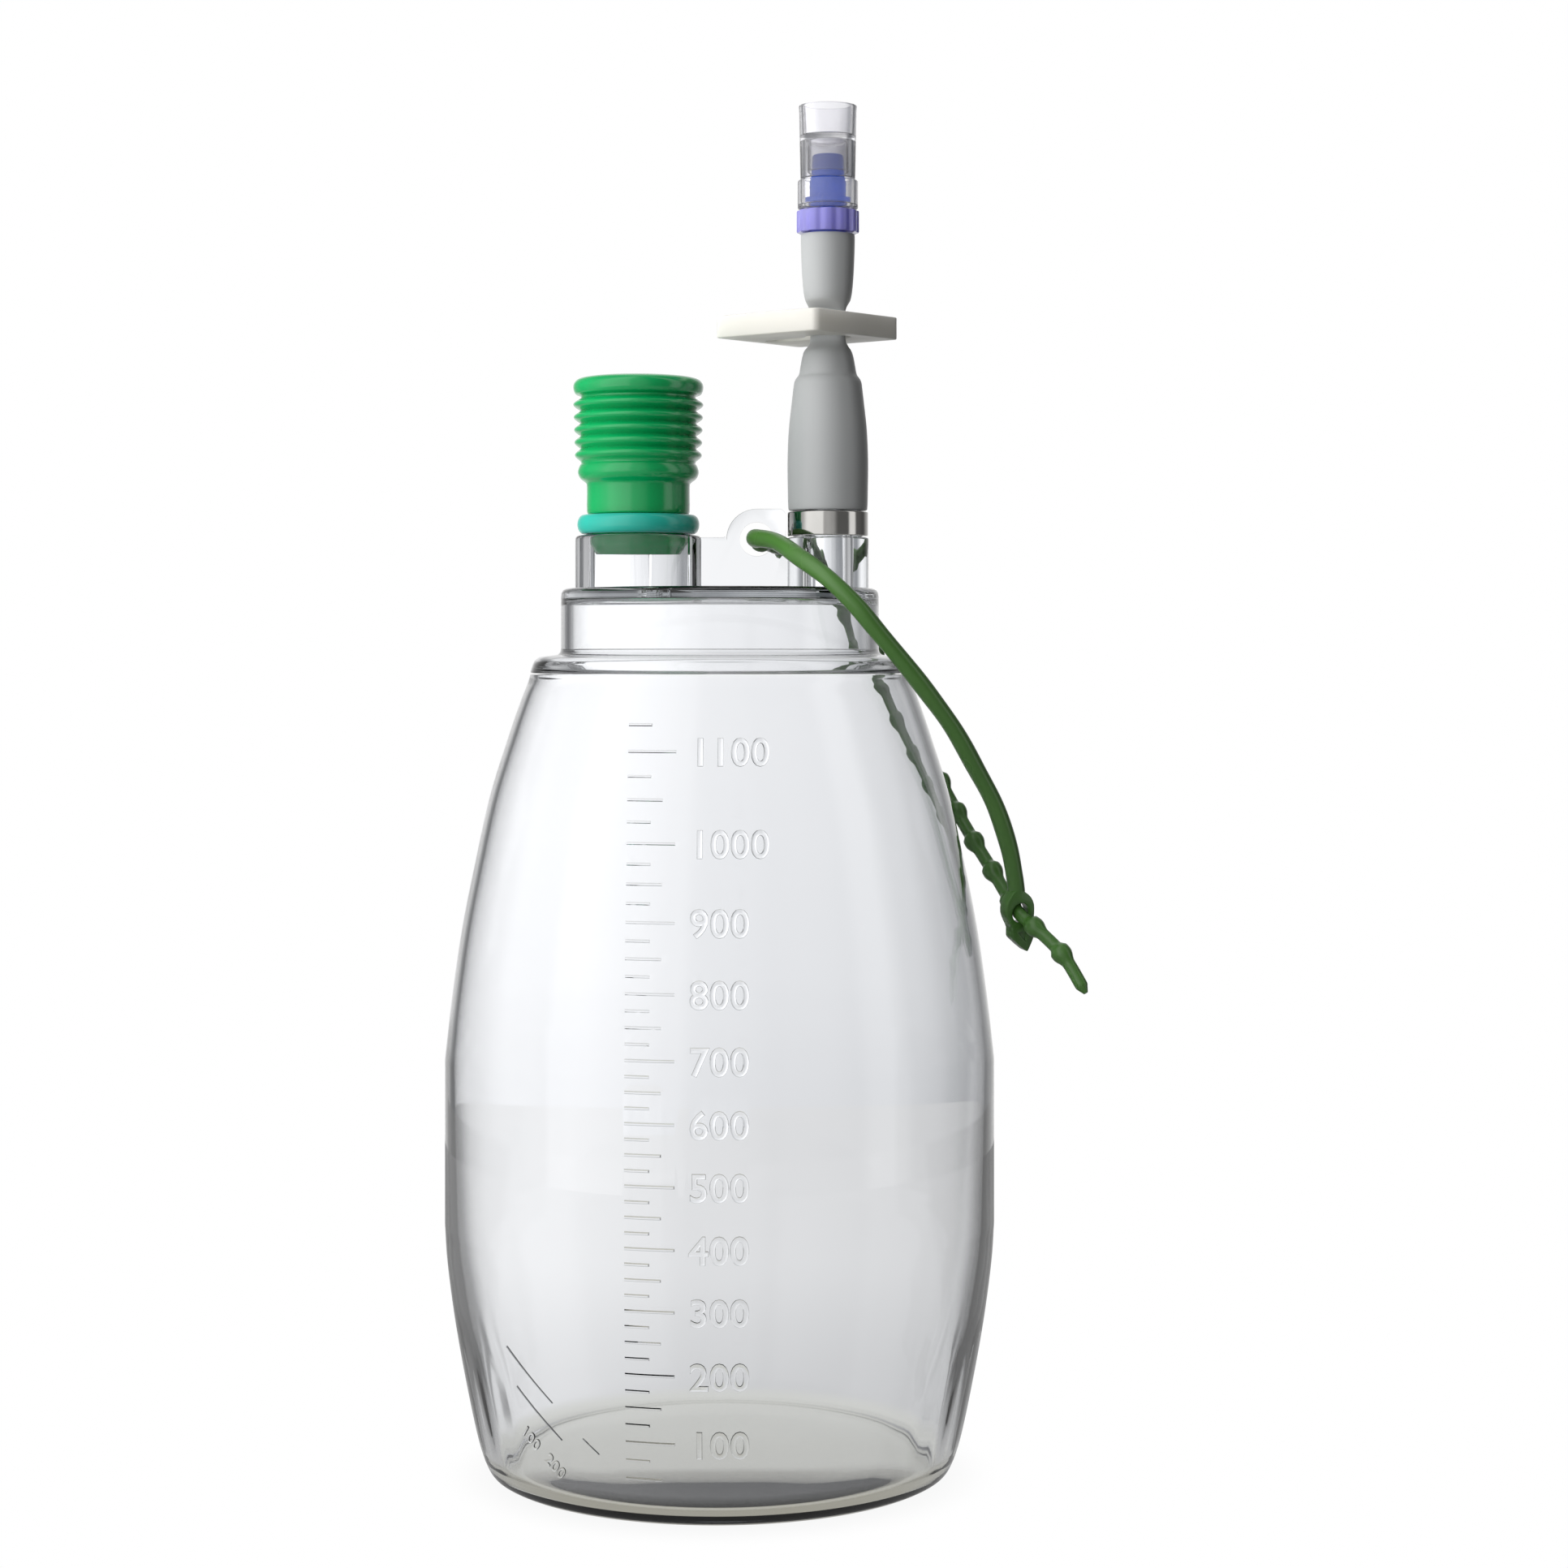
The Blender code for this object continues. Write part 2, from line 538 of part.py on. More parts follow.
# The strap goes through the lobe's hole. Its smooth run drapes over the front of the right shoulder to the
# eye, and its tail comes down behind the shoulder, passes through the eye and ends beyond it.
EYE = Vector((58.9, -2.6, 110.6))
FRONT_WAY = [Vector((LOBE_X, -GAP / 2, LOBE_Z)), Vector((LOBE_X, -6.1, LOBE_Z))] + [Vector(p) for p in (
    (11.2, -11.6, 183.4), (15.7, -19.0, 180.2), (21.4, -24.0, 175.8), (26.5, -25.0, 170.8),
    (30.7, -23.7, 165.8), (35.3, -21.6, 160.4), (40.6, -18.6, 153.8), (45.6, -15.2, 147.0),
    (50.0, -11.6, 139.4), (54.0, -8.4, 132.0), (56.9, -5.5, 123.8), (58.2, -3.8, 117.6),
    (58.6, -3.0, 114.6))]
TAIL_WAY = [Vector((LOBE_X, GAP / 2, LOBE_Z)), Vector((LOBE_X, 5.0, LOBE_Z))] + [Vector(p) for p in (
    (11.8, 11.5, 182.6), (16.8, 17.8, 180.2), (21.6, 22.2, 177.4), (26.8, 24.8, 171.4),
    (30.8, 25.8, 163.8), (34.4, 25.6, 156.2), (38.0, 23.8, 148.5), (42.2, 20.6, 140.5),
    (46.0, 15.6, 132.8), (50.0, 9.8, 125.5), (54.5, 3.8, 118.0), (58.9, -2.6, 110.6),
    (63.2, -6.5, 106.8), (67.5, -9.5, 102.3), (71.5, -12.0, 95.5))]


def make_strap():
    rubber = material("strap_green", (0.07, 0.3, 0.04), 0.35)
    run = cord("smooth_run", smooth_route(FRONT_WAY, 6.0), STRAP_R, rubber)
    front = node("strap_front", made_mesh(run))
    bpy.data.objects.remove(run)

    # The eye: a flat diamond-ended loop that stands square to the tail
    def eye(bm):
        long, wide, thick = EYE_LONG / 2, EYE_WIDE / 2, EYE_THICK / 2
        outer = [(long, 0), (long * 0.35, wide), (-long * 0.45, wide), (-long, wide * 0.35),
                 (-long, -wide * 0.35), (-long * 0.45, -wide), (long * 0.35, -wide)]
        hole = 1 - 1.5 / wide
        inner = [(x * 0.62, y * (hole + 0.06)) for x, y in outer]
        rows = []
        for z in (-thick, thick):
            rows.append([[bm.verts.new((x, y, z)) for x, y in loop] for loop in (outer, inner)])
        n = len(outer)
        for i in range(n):
            j = (i + 1) % n
            (o0, i0), (o1, i1) = rows
            bm.faces.new([o0[i], o0[j], o1[j], o1[i]])
            bm.faces.new([i0[i], i0[j], i1[j], i1[i]])
            bm.faces.new([o0[i], o0[j], i0[j], i0[i]])
            bm.faces.new([o1[i], o1[j], i1[j], i1[i]])
        down = (FRONT_WAY[-1] - FRONT_WAY[-3]).normalized()
        through = (TAIL_WAY[14] - TAIL_WAY[12]).normalized()
        across = down.cross(through).normalized()
        through = across.cross(down).normalized()
        frame = Matrix((down, across, through)).transposed().to_4x4()
        bmesh.ops.transform(bm, verts=bm.verts, matrix=Matrix.Translation(EYE) @ frame)

    combine(front, node("eye", mesh_from("eye", eye)), "UNION")
    settle(front, 50)
    cord("strap_tail", smooth_route(TAIL_WAY, 4.8), TAIL_R, rubber)


clear_scene()
make_barrel()
make_top()
make_indicator()
make_tube()
make_clamp()
make_luer()
make_strap()
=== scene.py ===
"""The visual model of a vacuum drainage bottle: clear graduated barrel and top, green bellows indicator,
grey connector tube with slide clamp, capped luer end and rubber hanging strap. Metres, +Z up, front faces -Y."""

import math

import bpy
import numpy as np
from mathutils import Matrix, Vector


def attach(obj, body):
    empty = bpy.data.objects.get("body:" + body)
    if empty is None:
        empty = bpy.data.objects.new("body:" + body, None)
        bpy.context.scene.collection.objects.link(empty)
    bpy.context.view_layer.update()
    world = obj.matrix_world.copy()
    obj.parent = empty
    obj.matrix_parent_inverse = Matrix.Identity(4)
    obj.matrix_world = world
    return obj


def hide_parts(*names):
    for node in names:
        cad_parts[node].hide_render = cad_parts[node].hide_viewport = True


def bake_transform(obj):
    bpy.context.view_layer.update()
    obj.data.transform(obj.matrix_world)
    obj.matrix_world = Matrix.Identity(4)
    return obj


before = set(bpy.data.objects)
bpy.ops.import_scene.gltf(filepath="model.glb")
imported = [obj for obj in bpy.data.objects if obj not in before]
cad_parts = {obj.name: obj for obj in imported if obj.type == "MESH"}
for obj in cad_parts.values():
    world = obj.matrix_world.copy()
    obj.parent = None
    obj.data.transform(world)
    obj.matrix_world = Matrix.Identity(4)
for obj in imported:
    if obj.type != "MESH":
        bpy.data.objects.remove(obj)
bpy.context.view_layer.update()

MM = 0.001
NOZZLE_X = 21.4
PORT_X = -16.2


# --- hand tools ---------------------------------------------------------------------------

def let_go():
    """Nothing selected, object mode."""
    if bpy.context.mode != "OBJECT":
        bpy.ops.object.mode_set(mode="OBJECT")
    for obj in list(bpy.context.selected_objects):
        obj.select_set(False)


def take(obj):
    let_go()
    obj.select_set(True)
    bpy.context.view_layer.objects.active = obj
    return obj


def edit(obj):
    take(obj)
    bpy.ops.object.mode_set(mode="EDIT")
    bpy.ops.mesh.select_mode(type="VERT")


def done():
    bpy.ops.object.mode_set(mode="OBJECT")


def settle(obj, angle=35):
    """Puts the place into the mesh, and shades it smooth up to that angle."""
    take(obj)
    bpy.ops.object.transform_apply(location=True, rotation=True, scale=True)
    bpy.ops.object.shade_smooth_by_angle(angle=math.radians(angle))
    return obj


def apply_modifiers(obj):
    take(obj)
    for step in [m.name for m in obj.modifiers]:
        bpy.ops.object.modifier_apply(modifier=step)


def turned(name, profile, x=0.0, steps=96, closed=False, angle=35):
    """A turned piece: one point is drawn out along the profile of (radius, height) in mm, then spun about x."""
    let_go()
    r, z = profile[0]
    bpy.ops.mesh.primitive_plane_add(size=0.001, location=((x + r) * MM, 0, z * MM))
    obj = bpy.context.object
    obj.name = name
    bpy.ops.object.mode_set(mode="EDIT")
    bpy.ops.mesh.select_all(action="SELECT")
    bpy.ops.mesh.merge(type="CENTER")
    way = list(profile) + ([profile[0]] if closed else [])
    for (r0, z0), (r1, z1) in zip(way, way[1:]):
        bpy.ops.mesh.extrude_vertices_move(
            TRANSFORM_OT_translate={"value": ((r1 - r0) * MM, 0, (z1 - z0) * MM)})
    bpy.ops.mesh.select_all(action="SELECT")
    bpy.ops.mesh.spin(steps=steps, angle=2 * math.pi, center=(x * MM, 0, 0), axis=(0, 0, 1))
    bpy.ops.mesh.select_all(action="SELECT")
    bpy.ops.mesh.remove_doubles(threshold=2e-6)
    bpy.ops.mesh.select_all(action="SELECT")
    bpy.ops.mesh.normals_make_consistent(inside=False)
    done()
    return settle(obj, angle)


def flowing(points, per=5):
    """More points on a smooth curve through the given ones."""
    p = [np.array(q, float) for q in points]
    p = [2 * p[0] - p[1]] + p + [2 * p[-1] - p[-2]]
    out = []
    for a, b, c, d in zip(p, p[1:], p[2:], p[3:]):
        for i in range(per):
            t = i / per
            out.append(tuple(0.5 * (2 * b + (c - a) * t + (2 * a - 5 * b + 4 * c - d) * t ** 2
                                    + (3 * b - a - 3 * c + d) * t ** 3)))
    out.append(tuple(p[-2]))
    return out


def corner(at, before, after, radius, count=4):
    """Points round a filleted corner of a profile."""
    at, before, after = (np.array(v, float) for v in (at, before, after))
    one, two = (before - at) / np.linalg.norm(before - at), (after - at) / np.linalg.norm(after - at)
    start, end = at + one * radius, at + two * radius
    return [tuple((1 - t) ** 2 * start + 2 * t * (1 - t) * at + t ** 2 * end)
            for t in np.linspace(0, 1, count + 1)]


def filleted(points, radii):
    """A profile with the given fillet at each of its inner points."""
    out = [points[0]]
    for i in range(1, len(points) - 1):
        if radii[i] > 0:
            out += corner(points[i], points[i - 1], points[i + 1], radii[i])
        else:
            out.append(points[i])
    return out + [points[-1]]


def joined(obj, other, operation="UNION", tangled=False):
    """Cuts with, or melts in, another closed piece, and removes it. A tangled piece crosses itself."""
    step = obj.modifiers.new("join", "BOOLEAN")
    step.operation = operation
    step.solver = "EXACT"
    step.use_self = tangled
    step.object = other
    apply_modifiers(obj)
    bpy.data.objects.remove(other)
    return obj


# --- camera and light -----------------------------------------------------------------------

def make_camera():
    lens = bpy.data.cameras.new("camera")
    lens.sensor_width = 36
    lens.lens = 74.5
    lens.shift_y = -0.086
    lens.clip_start = 0.01
    camera = bpy.data.objects.new("camera", lens)
    bpy.context.scene.collection.objects.link(camera)
    camera.location = (0.0127, -0.644, 0.1625)
    camera.rotation_euler = (math.radians(90), 0, 0)
    bpy.context.scene.camera = camera


make_camera()
bpy.context.scene.view_settings.view_transform = "Standard"


# --- finishes -----------------------------------------------------------------------------

def group(name, inputs, outputs):
    """An empty node group with these sockets: {name: (type, default)}."""
    tree = bpy.data.node_groups.new(name, "ShaderNodeTree")
    for label, (kind, value) in inputs.items():
        sock = tree.interface.new_socket(label, in_out="INPUT", socket_type=kind)
        sock.default_value = value
    for label, kind in outputs.items():
        tree.interface.new_socket(label, in_out="OUTPUT", socket_type=kind)
    return tree, tree.nodes.new("NodeGroupInput"), tree.nodes.new("NodeGroupOutput")


def moulding_group():
    """Slow waviness and fine speckle of moulded plastic or rubber, as a colour, a roughness and a height."""
    tree, start, end = group("moulding", {
        "Color": ("NodeSocketColor", (0.8, 0.8, 0.8, 1)), "Tint": ("NodeSocketColor", (0.7, 0.7, 0.7, 1)),
        "Rough": ("NodeSocketFloat", 0.3), "Rough Change": ("NodeSocketFloat", 0.08),
        "Wave Scale": ("NodeSocketFloat", 60.0), "Grain Scale": ("NodeSocketFloat", 2500.0),
        "Grain": ("NodeSocketFloat", 0.3),
    }, {"Color": "NodeSocketColor", "Roughness": "NodeSocketFloat", "Height": "NodeSocketFloat"})
    where = tree.nodes.new("ShaderNodeTexCoord")
    wave, grain = tree.nodes.new("ShaderNodeTexNoise"), tree.nodes.new("ShaderNodeTexNoise")
    wave.inputs["Detail"].default_value = 2
    grain.inputs["Detail"].default_value = 3
    link = tree.links.new
    for noise, scale in ((wave, "Wave Scale"), (grain, "Grain Scale")):
        link(where.outputs["Object"], noise.inputs["Vector"])
        link(start.outputs[scale], noise.inputs["Scale"])
    mix = tree.nodes.new("ShaderNodeMix")
    mix.data_type = "RGBA"
    link(wave.outputs["Fac"], mix.inputs["Factor"])
    link(start.outputs["Color"], mix.inputs["A"])
    link(start.outputs["Tint"], mix.inputs["B"])
    link(mix.outputs["Result"], end.inputs["Color"])
    swing = tree.nodes.new("ShaderNodeMath")
    swing.operation = "SUBTRACT"
    swing.inputs[1].default_value = 0.5
    link(wave.outputs["Fac"], swing.inputs[0])
    rough = tree.nodes.new("ShaderNodeMath")
    rough.operation = "MULTIPLY_ADD"
    link(swing.outputs[0], rough.inputs[0])
    link(start.outputs["Rough Change"], rough.inputs[1])
    link(start.outputs["Rough"], rough.inputs[2])
    link(rough.outputs[0], end.inputs["Roughness"])
    height = tree.nodes.new("ShaderNodeMath")
    height.operation = "MULTIPLY_ADD"
    link(grain.outputs["Fac"], height.inputs[0])
    link(start.outputs["Grain"], height.inputs[1])
    link(wave.outputs["Fac"], height.inputs[2])
    link(height.outputs[0], end.inputs["Height"])
    return tree


MOULDING = moulding_group()


def finish(name, color, tint=None, rough=0.3, change=0.08, wave=60.0, grain=2500.0, grain_share=0.3, bump=0.1,
           depth=0.0002, clear=0.0, metal=0.0, ior=1.5, coat=0.0, absorb=None, density=0.0, sub=0.0,
           sub_radius=None):
    mat = bpy.data.materials.new(name)
    mat.use_nodes = True
    nodes, link = mat.node_tree.nodes, mat.node_tree.links.new
    shader = nodes["Principled BSDF"]
    shader.inputs["Metallic"].default_value = metal
    shader.inputs["Transmission Weight"].default_value = clear
    shader.inputs["IOR"].default_value = ior
    shader.inputs["Coat Weight"].default_value = coat
    shader.inputs["Coat Roughness"].default_value = 0.06
    shader.inputs["Subsurface Weight"].default_value = sub
    if sub_radius:
        shader.inputs["Subsurface Radius"].default_value = (1, 1, 1)
        shader.inputs["Subsurface Scale"].default_value = sub_radius
    use = nodes.new("ShaderNodeGroup")
    use.node_tree = MOULDING
    use.inputs["Color"].default_value = (*color, 1)
    use.inputs["Tint"].default_value = (*(tint or tuple(0.9 * c for c in color)), 1)
    use.inputs["Rough"].default_value = rough
    use.inputs["Rough Change"].default_value = change
    use.inputs["Wave Scale"].default_value = wave
    use.inputs["Grain Scale"].default_value = grain
    use.inputs["Grain"].default_value = grain_share
    link(use.outputs["Color"], shader.inputs["Base Color"])
    link(use.outputs["Roughness"], shader.inputs["Roughness"])
    lift = nodes.new("ShaderNodeBump")
    lift.inputs["Strength"].default_value = bump
    lift.inputs["Distance"].default_value = depth
    link(use.outputs["Height"], lift.inputs["Height"])
    link(lift.outputs["Normal"], shader.inputs["Normal"])
    if density:
        inside = nodes.new("ShaderNodeVolumeAbsorption")
        inside.inputs["Color"].default_value = (*absorb, 1)
        inside.inputs["Density"].default_value = density
        link(inside.outputs["Volume"], nodes["Material Output"].inputs["Volume"])
    return mat


def dress(obj, mat):
    obj.data.materials.clear()
    obj.data.materials.append(mat)
    return obj


CLEAR = finish("clear_moulding", (0.99, 0.993, 1.0), (0.975, 0.98, 0.99), rough=0.010, change=0.01, wave=28,
               bump=0.10, depth=0.0004, grain_share=0.0, clear=1.0, ior=1.5, absorb=(0.3, 0.36, 0.42),
               density=12)
CLEAR_SMALL = finish("clear_small_moulding", (0.99, 0.985, 1.0), (0.97, 0.965, 0.995), rough=0.06,
                     change=0.02, wave=120, bump=0.1, clear=0.94, ior=1.34)
GREEN = finish("bellows_elastomer", (0.0, 0.36, 0.10), (0.0, 0.29, 0.075), rough=0.17, change=0.06, wave=90,
               bump=0.08, coat=0.35)
TEAL = finish("teal_elastomer", (0.02, 0.42, 0.33), (0.015, 0.34, 0.27), rough=0.2, wave=120, bump=0.06)
GREY = finish("grey_rubber", (0.40, 0.41, 0.41), (0.36, 0.37, 0.375), rough=0.36, change=0.1, wave=70,
              grain=1800, grain_share=0.5, bump=0.12)
WHITE = finish("clamp_plastic", (0.62, 0.605, 0.56), (0.575, 0.56, 0.51), rough=0.45, wave=90, grain=1600,
               bump=0.08, sub=0.35, sub_radius=0.012)
STEEL = finish("bright_band", (0.62, 0.61, 0.59), (0.5, 0.49, 0.47), rough=0.07, change=0.05, wave=220,
               bump=0.02, metal=1.0)
BLUE = finish("luer_blue", (0.05, 0.15, 0.88), (0.10, 0.22, 0.93), rough=0.2, wave=160, bump=0.05, clear=0.12)
VIOLET = finish("grip_violet", (0.50, 0.48, 0.95), (0.40, 0.37, 0.92), rough=0.08, wave=200, bump=0.08,
                clear=0.55, ior=1.4)
STRAP = finish("strap_rubber", (0.052, 0.155, 0.027), (0.08, 0.20, 0.04), rough=0.28, change=0.12, wave=55,
               grain=1500, grain_share=0.4, bump=0.18)


# --- hanging strap ------------------------------------------------------------------------
# It goes through the hole in the web: the smooth run drapes over the front of the right shoulder to the eye,
# and the beaded tail comes down behind the shoulder, passes through the eye and ends a little beyond it.

EYE = (58.9, -2.6, 110.6)
FRONT_WAY = [(7.3, -0.15, 184.3), (7.3, -6.1, 184.3), (11.2, -11.6, 183.4), (15.7, -19.0, 180.2),
             (21.4, -24.0, 175.8), (26.5, -25.0, 170.8), (30.7, -23.7, 165.8), (35.3, -21.6, 160.4),
             (40.6, -18.6, 153.8), (45.6, -15.2, 147.0), (50.0, -11.6, 139.4), (54.0, -8.4, 132.0),
             (56.9, -5.5, 123.8), (58.2, -3.8, 117.6), (58.6, -3.0, 114.6)]
TAIL_WAY = [(7.3, 0.15, 184.3), (7.3, 5.0, 184.3), (11.8, 11.5, 182.6), (16.8, 17.8, 180.2),
            (21.6, 22.2, 177.4), (26.8, 24.8, 171.4), (30.8, 25.8, 163.8), (34.4, 25.6, 156.2),
            (38.0, 23.8, 148.5), (42.2, 20.6, 140.5), (46.0, 15.6, 132.8), (50.0, 9.8, 125.5),
            (54.5, 3.8, 118.0), (58.9, -2.6, 110.6), (63.2, -6.5, 106.8), (67.5, -9.5, 102.3),
            (71.5, -12.0, 95.5)]
RUN_D = 3.5
TAIL_D = 2.6
BEAD_R = 2.05
BEAD_PITCH = 8.0


def measured(points):
    """Distance run along a line of points."""
    steps = [np.linalg.norm(np.subtract(b, a)) for a, b in zip(points, points[1:])]
    return np.concatenate([[0], np.cumsum(steps)])


def even(points, spacing):
    fine = flowing(points, 24)
    run = measured(fine)
    at = np.linspace(0, run[-1], max(4, round(run[-1] / spacing)) + 1)
    return [tuple(np.interp(s, run, [p[k] for p in fine]) for k in range(3)) for s in at]


def tube_along(name, points, radii, sides=16):
    """A tube whose ring of points follows a line, with its own radius at each point."""
    pts = [Vector(p) for p in points]
    ahead = [(pts[min(i + 1, len(pts) - 1)] - pts[max(i - 1, 0)]).normalized() for i in range(len(pts))]
    up = ahead[0].orthogonal().normalized()
    verts, faces = [], []
    for i, (p, way) in enumerate(zip(pts, ahead)):
        up = (up - way * up.dot(way)).normalized()
        side = way.cross(up)
        for k in range(sides):
            a = 2 * math.pi * k / sides
            verts.append((p + (up * math.cos(a) + side * math.sin(a)) * radii[i]) * MM)
    for i in range(len(pts) - 1):
        for k in range(sides):
            j = (k + 1) % sides
            faces.append((i * sides + k, i * sides + j, (i + 1) * sides + j, (i + 1) * sides + k))
    faces.append(tuple(reversed(range(sides))))
    faces.append(tuple((len(pts) - 1) * sides + k for k in range(sides)))
    mesh = bpy.data.meshes.new(name)
    mesh.from_pydata(verts, [], faces)
    obj = bpy.data.objects.new(name, mesh)
    bpy.context.scene.collection.objects.link(obj)
    edit(obj)
    bpy.ops.mesh.select_all(action="SELECT")
    bpy.ops.mesh.normals_make_consistent(inside=False)
    done()
    return settle(obj, 50)


def make_strap():
    run = even(FRONT_WAY, 1.2)
    dist = measured(run)
    swell = [RUN_D / 2 * (1 + 0.03 * math.sin(s * 0.35)) for s in dist]
    front = dress(tube_along("strap_run", run, swell, 20), STRAP)
    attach(front, "bottle")
    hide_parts("strap_front")

    # The eye: a moulded frame with a round opening for the tail and a pointed nose with a sunk triangle
    let_go()
    bpy.ops.mesh.primitive_plane_add(size=0.001)
    eye = bpy.context.object
    eye.name = "strap_eye"
    bpy.ops.object.mode_set(mode="EDIT")
    bpy.ops.mesh.select_all(action="SELECT")
    bpy.ops.mesh.merge(type="CENTER")
    edge = [(-6.2, 0.9), (-5.2, 2.0), (-4.0, 2.9), (-2.4, 3.3), (-0.6, 3.0), (1.0, 2.6), (2.6, 2.9),
            (3.6, 2.4), (6.3, 0.35), (6.3, -0.35), (3.6, -2.4), (2.6, -2.9), (1.0, -2.6), (-0.6, -3.0),
            (-2.4, -3.3), (-4.0, -2.9), (-5.2, -2.0), (-6.2, -0.9)]
    edge = flowing(edge + [edge[0]], 2)[:-1]
    at = (0.0, 0.0)
    for x, y in edge + [edge[0]]:
        bpy.ops.mesh.extrude_vertices_move(TRANSFORM_OT_translate={"value": ((x - at[0]) * MM,
                                                                             (y - at[1]) * MM, 0)})
        at = (x, y)
    done()
    # the first point was only where the outline started from
    data = eye.data
    for v in data.vertices:
        v.select = v.co.length < 1e-7
    for e in data.edges:
        e.select = False
    edit(eye)
    bpy.ops.mesh.delete(type="VERT")
    bpy.ops.mesh.select_all(action="SELECT")
    bpy.ops.mesh.remove_doubles(threshold=1e-6)
    bpy.ops.mesh.select_all(action="SELECT")
    bpy.ops.mesh.edge_face_add()
    bpy.ops.mesh.extrude_region_move(TRANSFORM_OT_translate={"value": (0, 0, 2.6 * MM)})
    bpy.ops.mesh.select_all(action="SELECT")
    bpy.ops.transform.translate(value=(0, 0, -1.3 * MM))
    bpy.ops.mesh.normals_make_consistent(inside=False)
    done()
    opening = turned("opening", [(0, -4), (1.95, -4), (1.95, 4), (0, 4)][::-1], x=-1.6, steps=32)
    joined(eye, opening, "DIFFERENCE")
    for side in (1, -1):
        let_go()
        bpy.ops.mesh.primitive_cone_add(vertices=3, radius1=1.5 * MM, radius2=1.2 * MM, depth=1.0 * MM,
                                        location=(3.0 * MM, 0, side * 1.3 * MM),
                                        rotation=(0, 0, math.radians(-90)))
        joined(eye, bpy.context.object, "DIFFERENCE")
    soft = eye.modifiers.new("soft edge", "BEVEL")
    soft.width = 0.35 * MM
    soft.segments = 3
    soft.limit_method = "ANGLE"
    soft.angle_limit = math.radians(50)
    apply_modifiers(eye)
    down = (Vector(FRONT_WAY[-1]) - Vector(FRONT_WAY[-3])).normalized()
    through = (Vector(TAIL_WAY[14]) - Vector(TAIL_WAY[12])).normalized()
    across = down.cross(through).normalized()
    through = across.cross(down).normalized()
    eye.data.transform(Matrix.Translation(Vector(EYE) * MM + down * 1.6 * MM)
                       @ Matrix((down, across, through)).transposed().to_4x4())
    settle(eye, 40)
    dress(eye, STRAP)
    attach(eye, "bottle")

    fine = even(TAIL_WAY, 0.5)
    run = measured(fine)
    radii = []
    for s in run:
        phase = (s - 5.0) % BEAD_PITCH / BEAD_PITCH
        if s < 5.0 or s > run[-1] - 3.0:
            bead = 0.0
        elif phase < 0.14:
            bead = math.sin(phase / 0.14 * math.pi / 2) ** 1.5
        elif phase < 0.24:
            bead = 1.0
        elif phase < 0.55:
            bead = 0.5 + 0.5 * math.cos((phase - 0.24) / 0.31 * math.pi)
        else:
            bead = 0.0
        tip = min(1.0, 0.35 + (run[-1] - s) / 2.5)
        radii.append((TAIL_D / 2 + (BEAD_R - TAIL_D / 2) * bead) * tip)
    tail = dress(tube_along("strap_beaded_tail", fine, radii, 16), STRAP)
    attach(tail, "bottle")
    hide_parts("strap_tail")


make_strap()


# --- barrel -------------------------------------------------------------------------------

BODY_R, JOINT_Z, WALL, FLOOR = 54.3, 157.5, 1.45, 2.0
OUTLINE = [(0, 0.775), (0.004, 0.817), (0.013, 0.845), (0.045, 0.878), (0.11, 0.919), (0.19, 0.961),
           (0.265, 0.99), (0.315, 1.0), (0.52, 1.0), (0.60, 0.973), (0.685, 0.937), (0.765, 0.891),
           (0.85, 0.836), (0.925, 0.768), (0.968, 0.725), (0.99, 0.70), (1, 0.692)]
MARK_LEFT, MARK_RIGHT = -16.9, {"long": -7.1, "medium": -9.6, "short": -11.8}
MARK_THICK, MARK_HIGH, DIGIT_HIGH, DIGIT_LEFT = 1.0, 0.35, 5.0, -4.6


def body_radius(z):
    return float(np.interp(z / JOINT_Z, [h for h, _ in OUTLINE], [r * BODY_R for _, r in OUTLINE]))


def height_of(volume):
    z = np.linspace(FLOOR, JOINT_Z, 1500)
    area = np.array([math.pi * (body_radius(h) - WALL) ** 2 for h in z])
    filled = np.concatenate([[0], np.cumsum((area[1:] + area[:-1]) / 2 * np.diff(z))]) / 1000
    return float(np.interp(volume, filled, z))


def on_barrel(u, z, out):
    radius = body_radius(z)
    turn = u / radius
    return Vector(((radius + out) * math.sin(turn), -(radius + out) * math.cos(turn), z)) * MM


def bend_round(obj):
    """Lays a flat piece drawn in mm (across, up, out) round the front of the barrel."""
    for v in obj.data.vertices:
        v.co = on_barrel(*v.co)


def bar(u0, u1, z, thick=MARK_THICK, turn=0.0, parts=6):
    """A raised bar with sloping sides: a cube stretched, drawn in on top and cut across, laid round the barrel."""
    let_go()
    bpy.ops.mesh.primitive_cube_add(size=1)
    obj = bpy.context.object
    long = u1 - u0
    bpy.ops.object.mode_set(mode="EDIT")
    bpy.ops.mesh.select_all(action="SELECT")
    bpy.ops.transform.resize(value=(long, thick, 2 * MARK_HIGH))
    bpy.ops.mesh.select_all(action="DESELECT")
    done()
    for v in obj.data.vertices:
        v.select = v.co.z > 0
    bpy.ops.object.mode_set(mode="EDIT")
    bpy.ops.transform.resize(value=(1 - 0.6 / long, 0.22, 1))
    bpy.ops.mesh.select_all(action="SELECT")
    for i in range(1, parts):
        bpy.ops.mesh.select_all(action="SELECT")
        bpy.ops.mesh.bisect(plane_co=(-long / 2 + long * i / parts, 0, 0), plane_no=(1, 0, 0))
    done()
    obj.data.transform(Matrix.Translation(((u0 + u1) / 2, z, 0)) @ Matrix.Rotation(turn, 4, "Z"))
    bend_round(obj)
    return obj


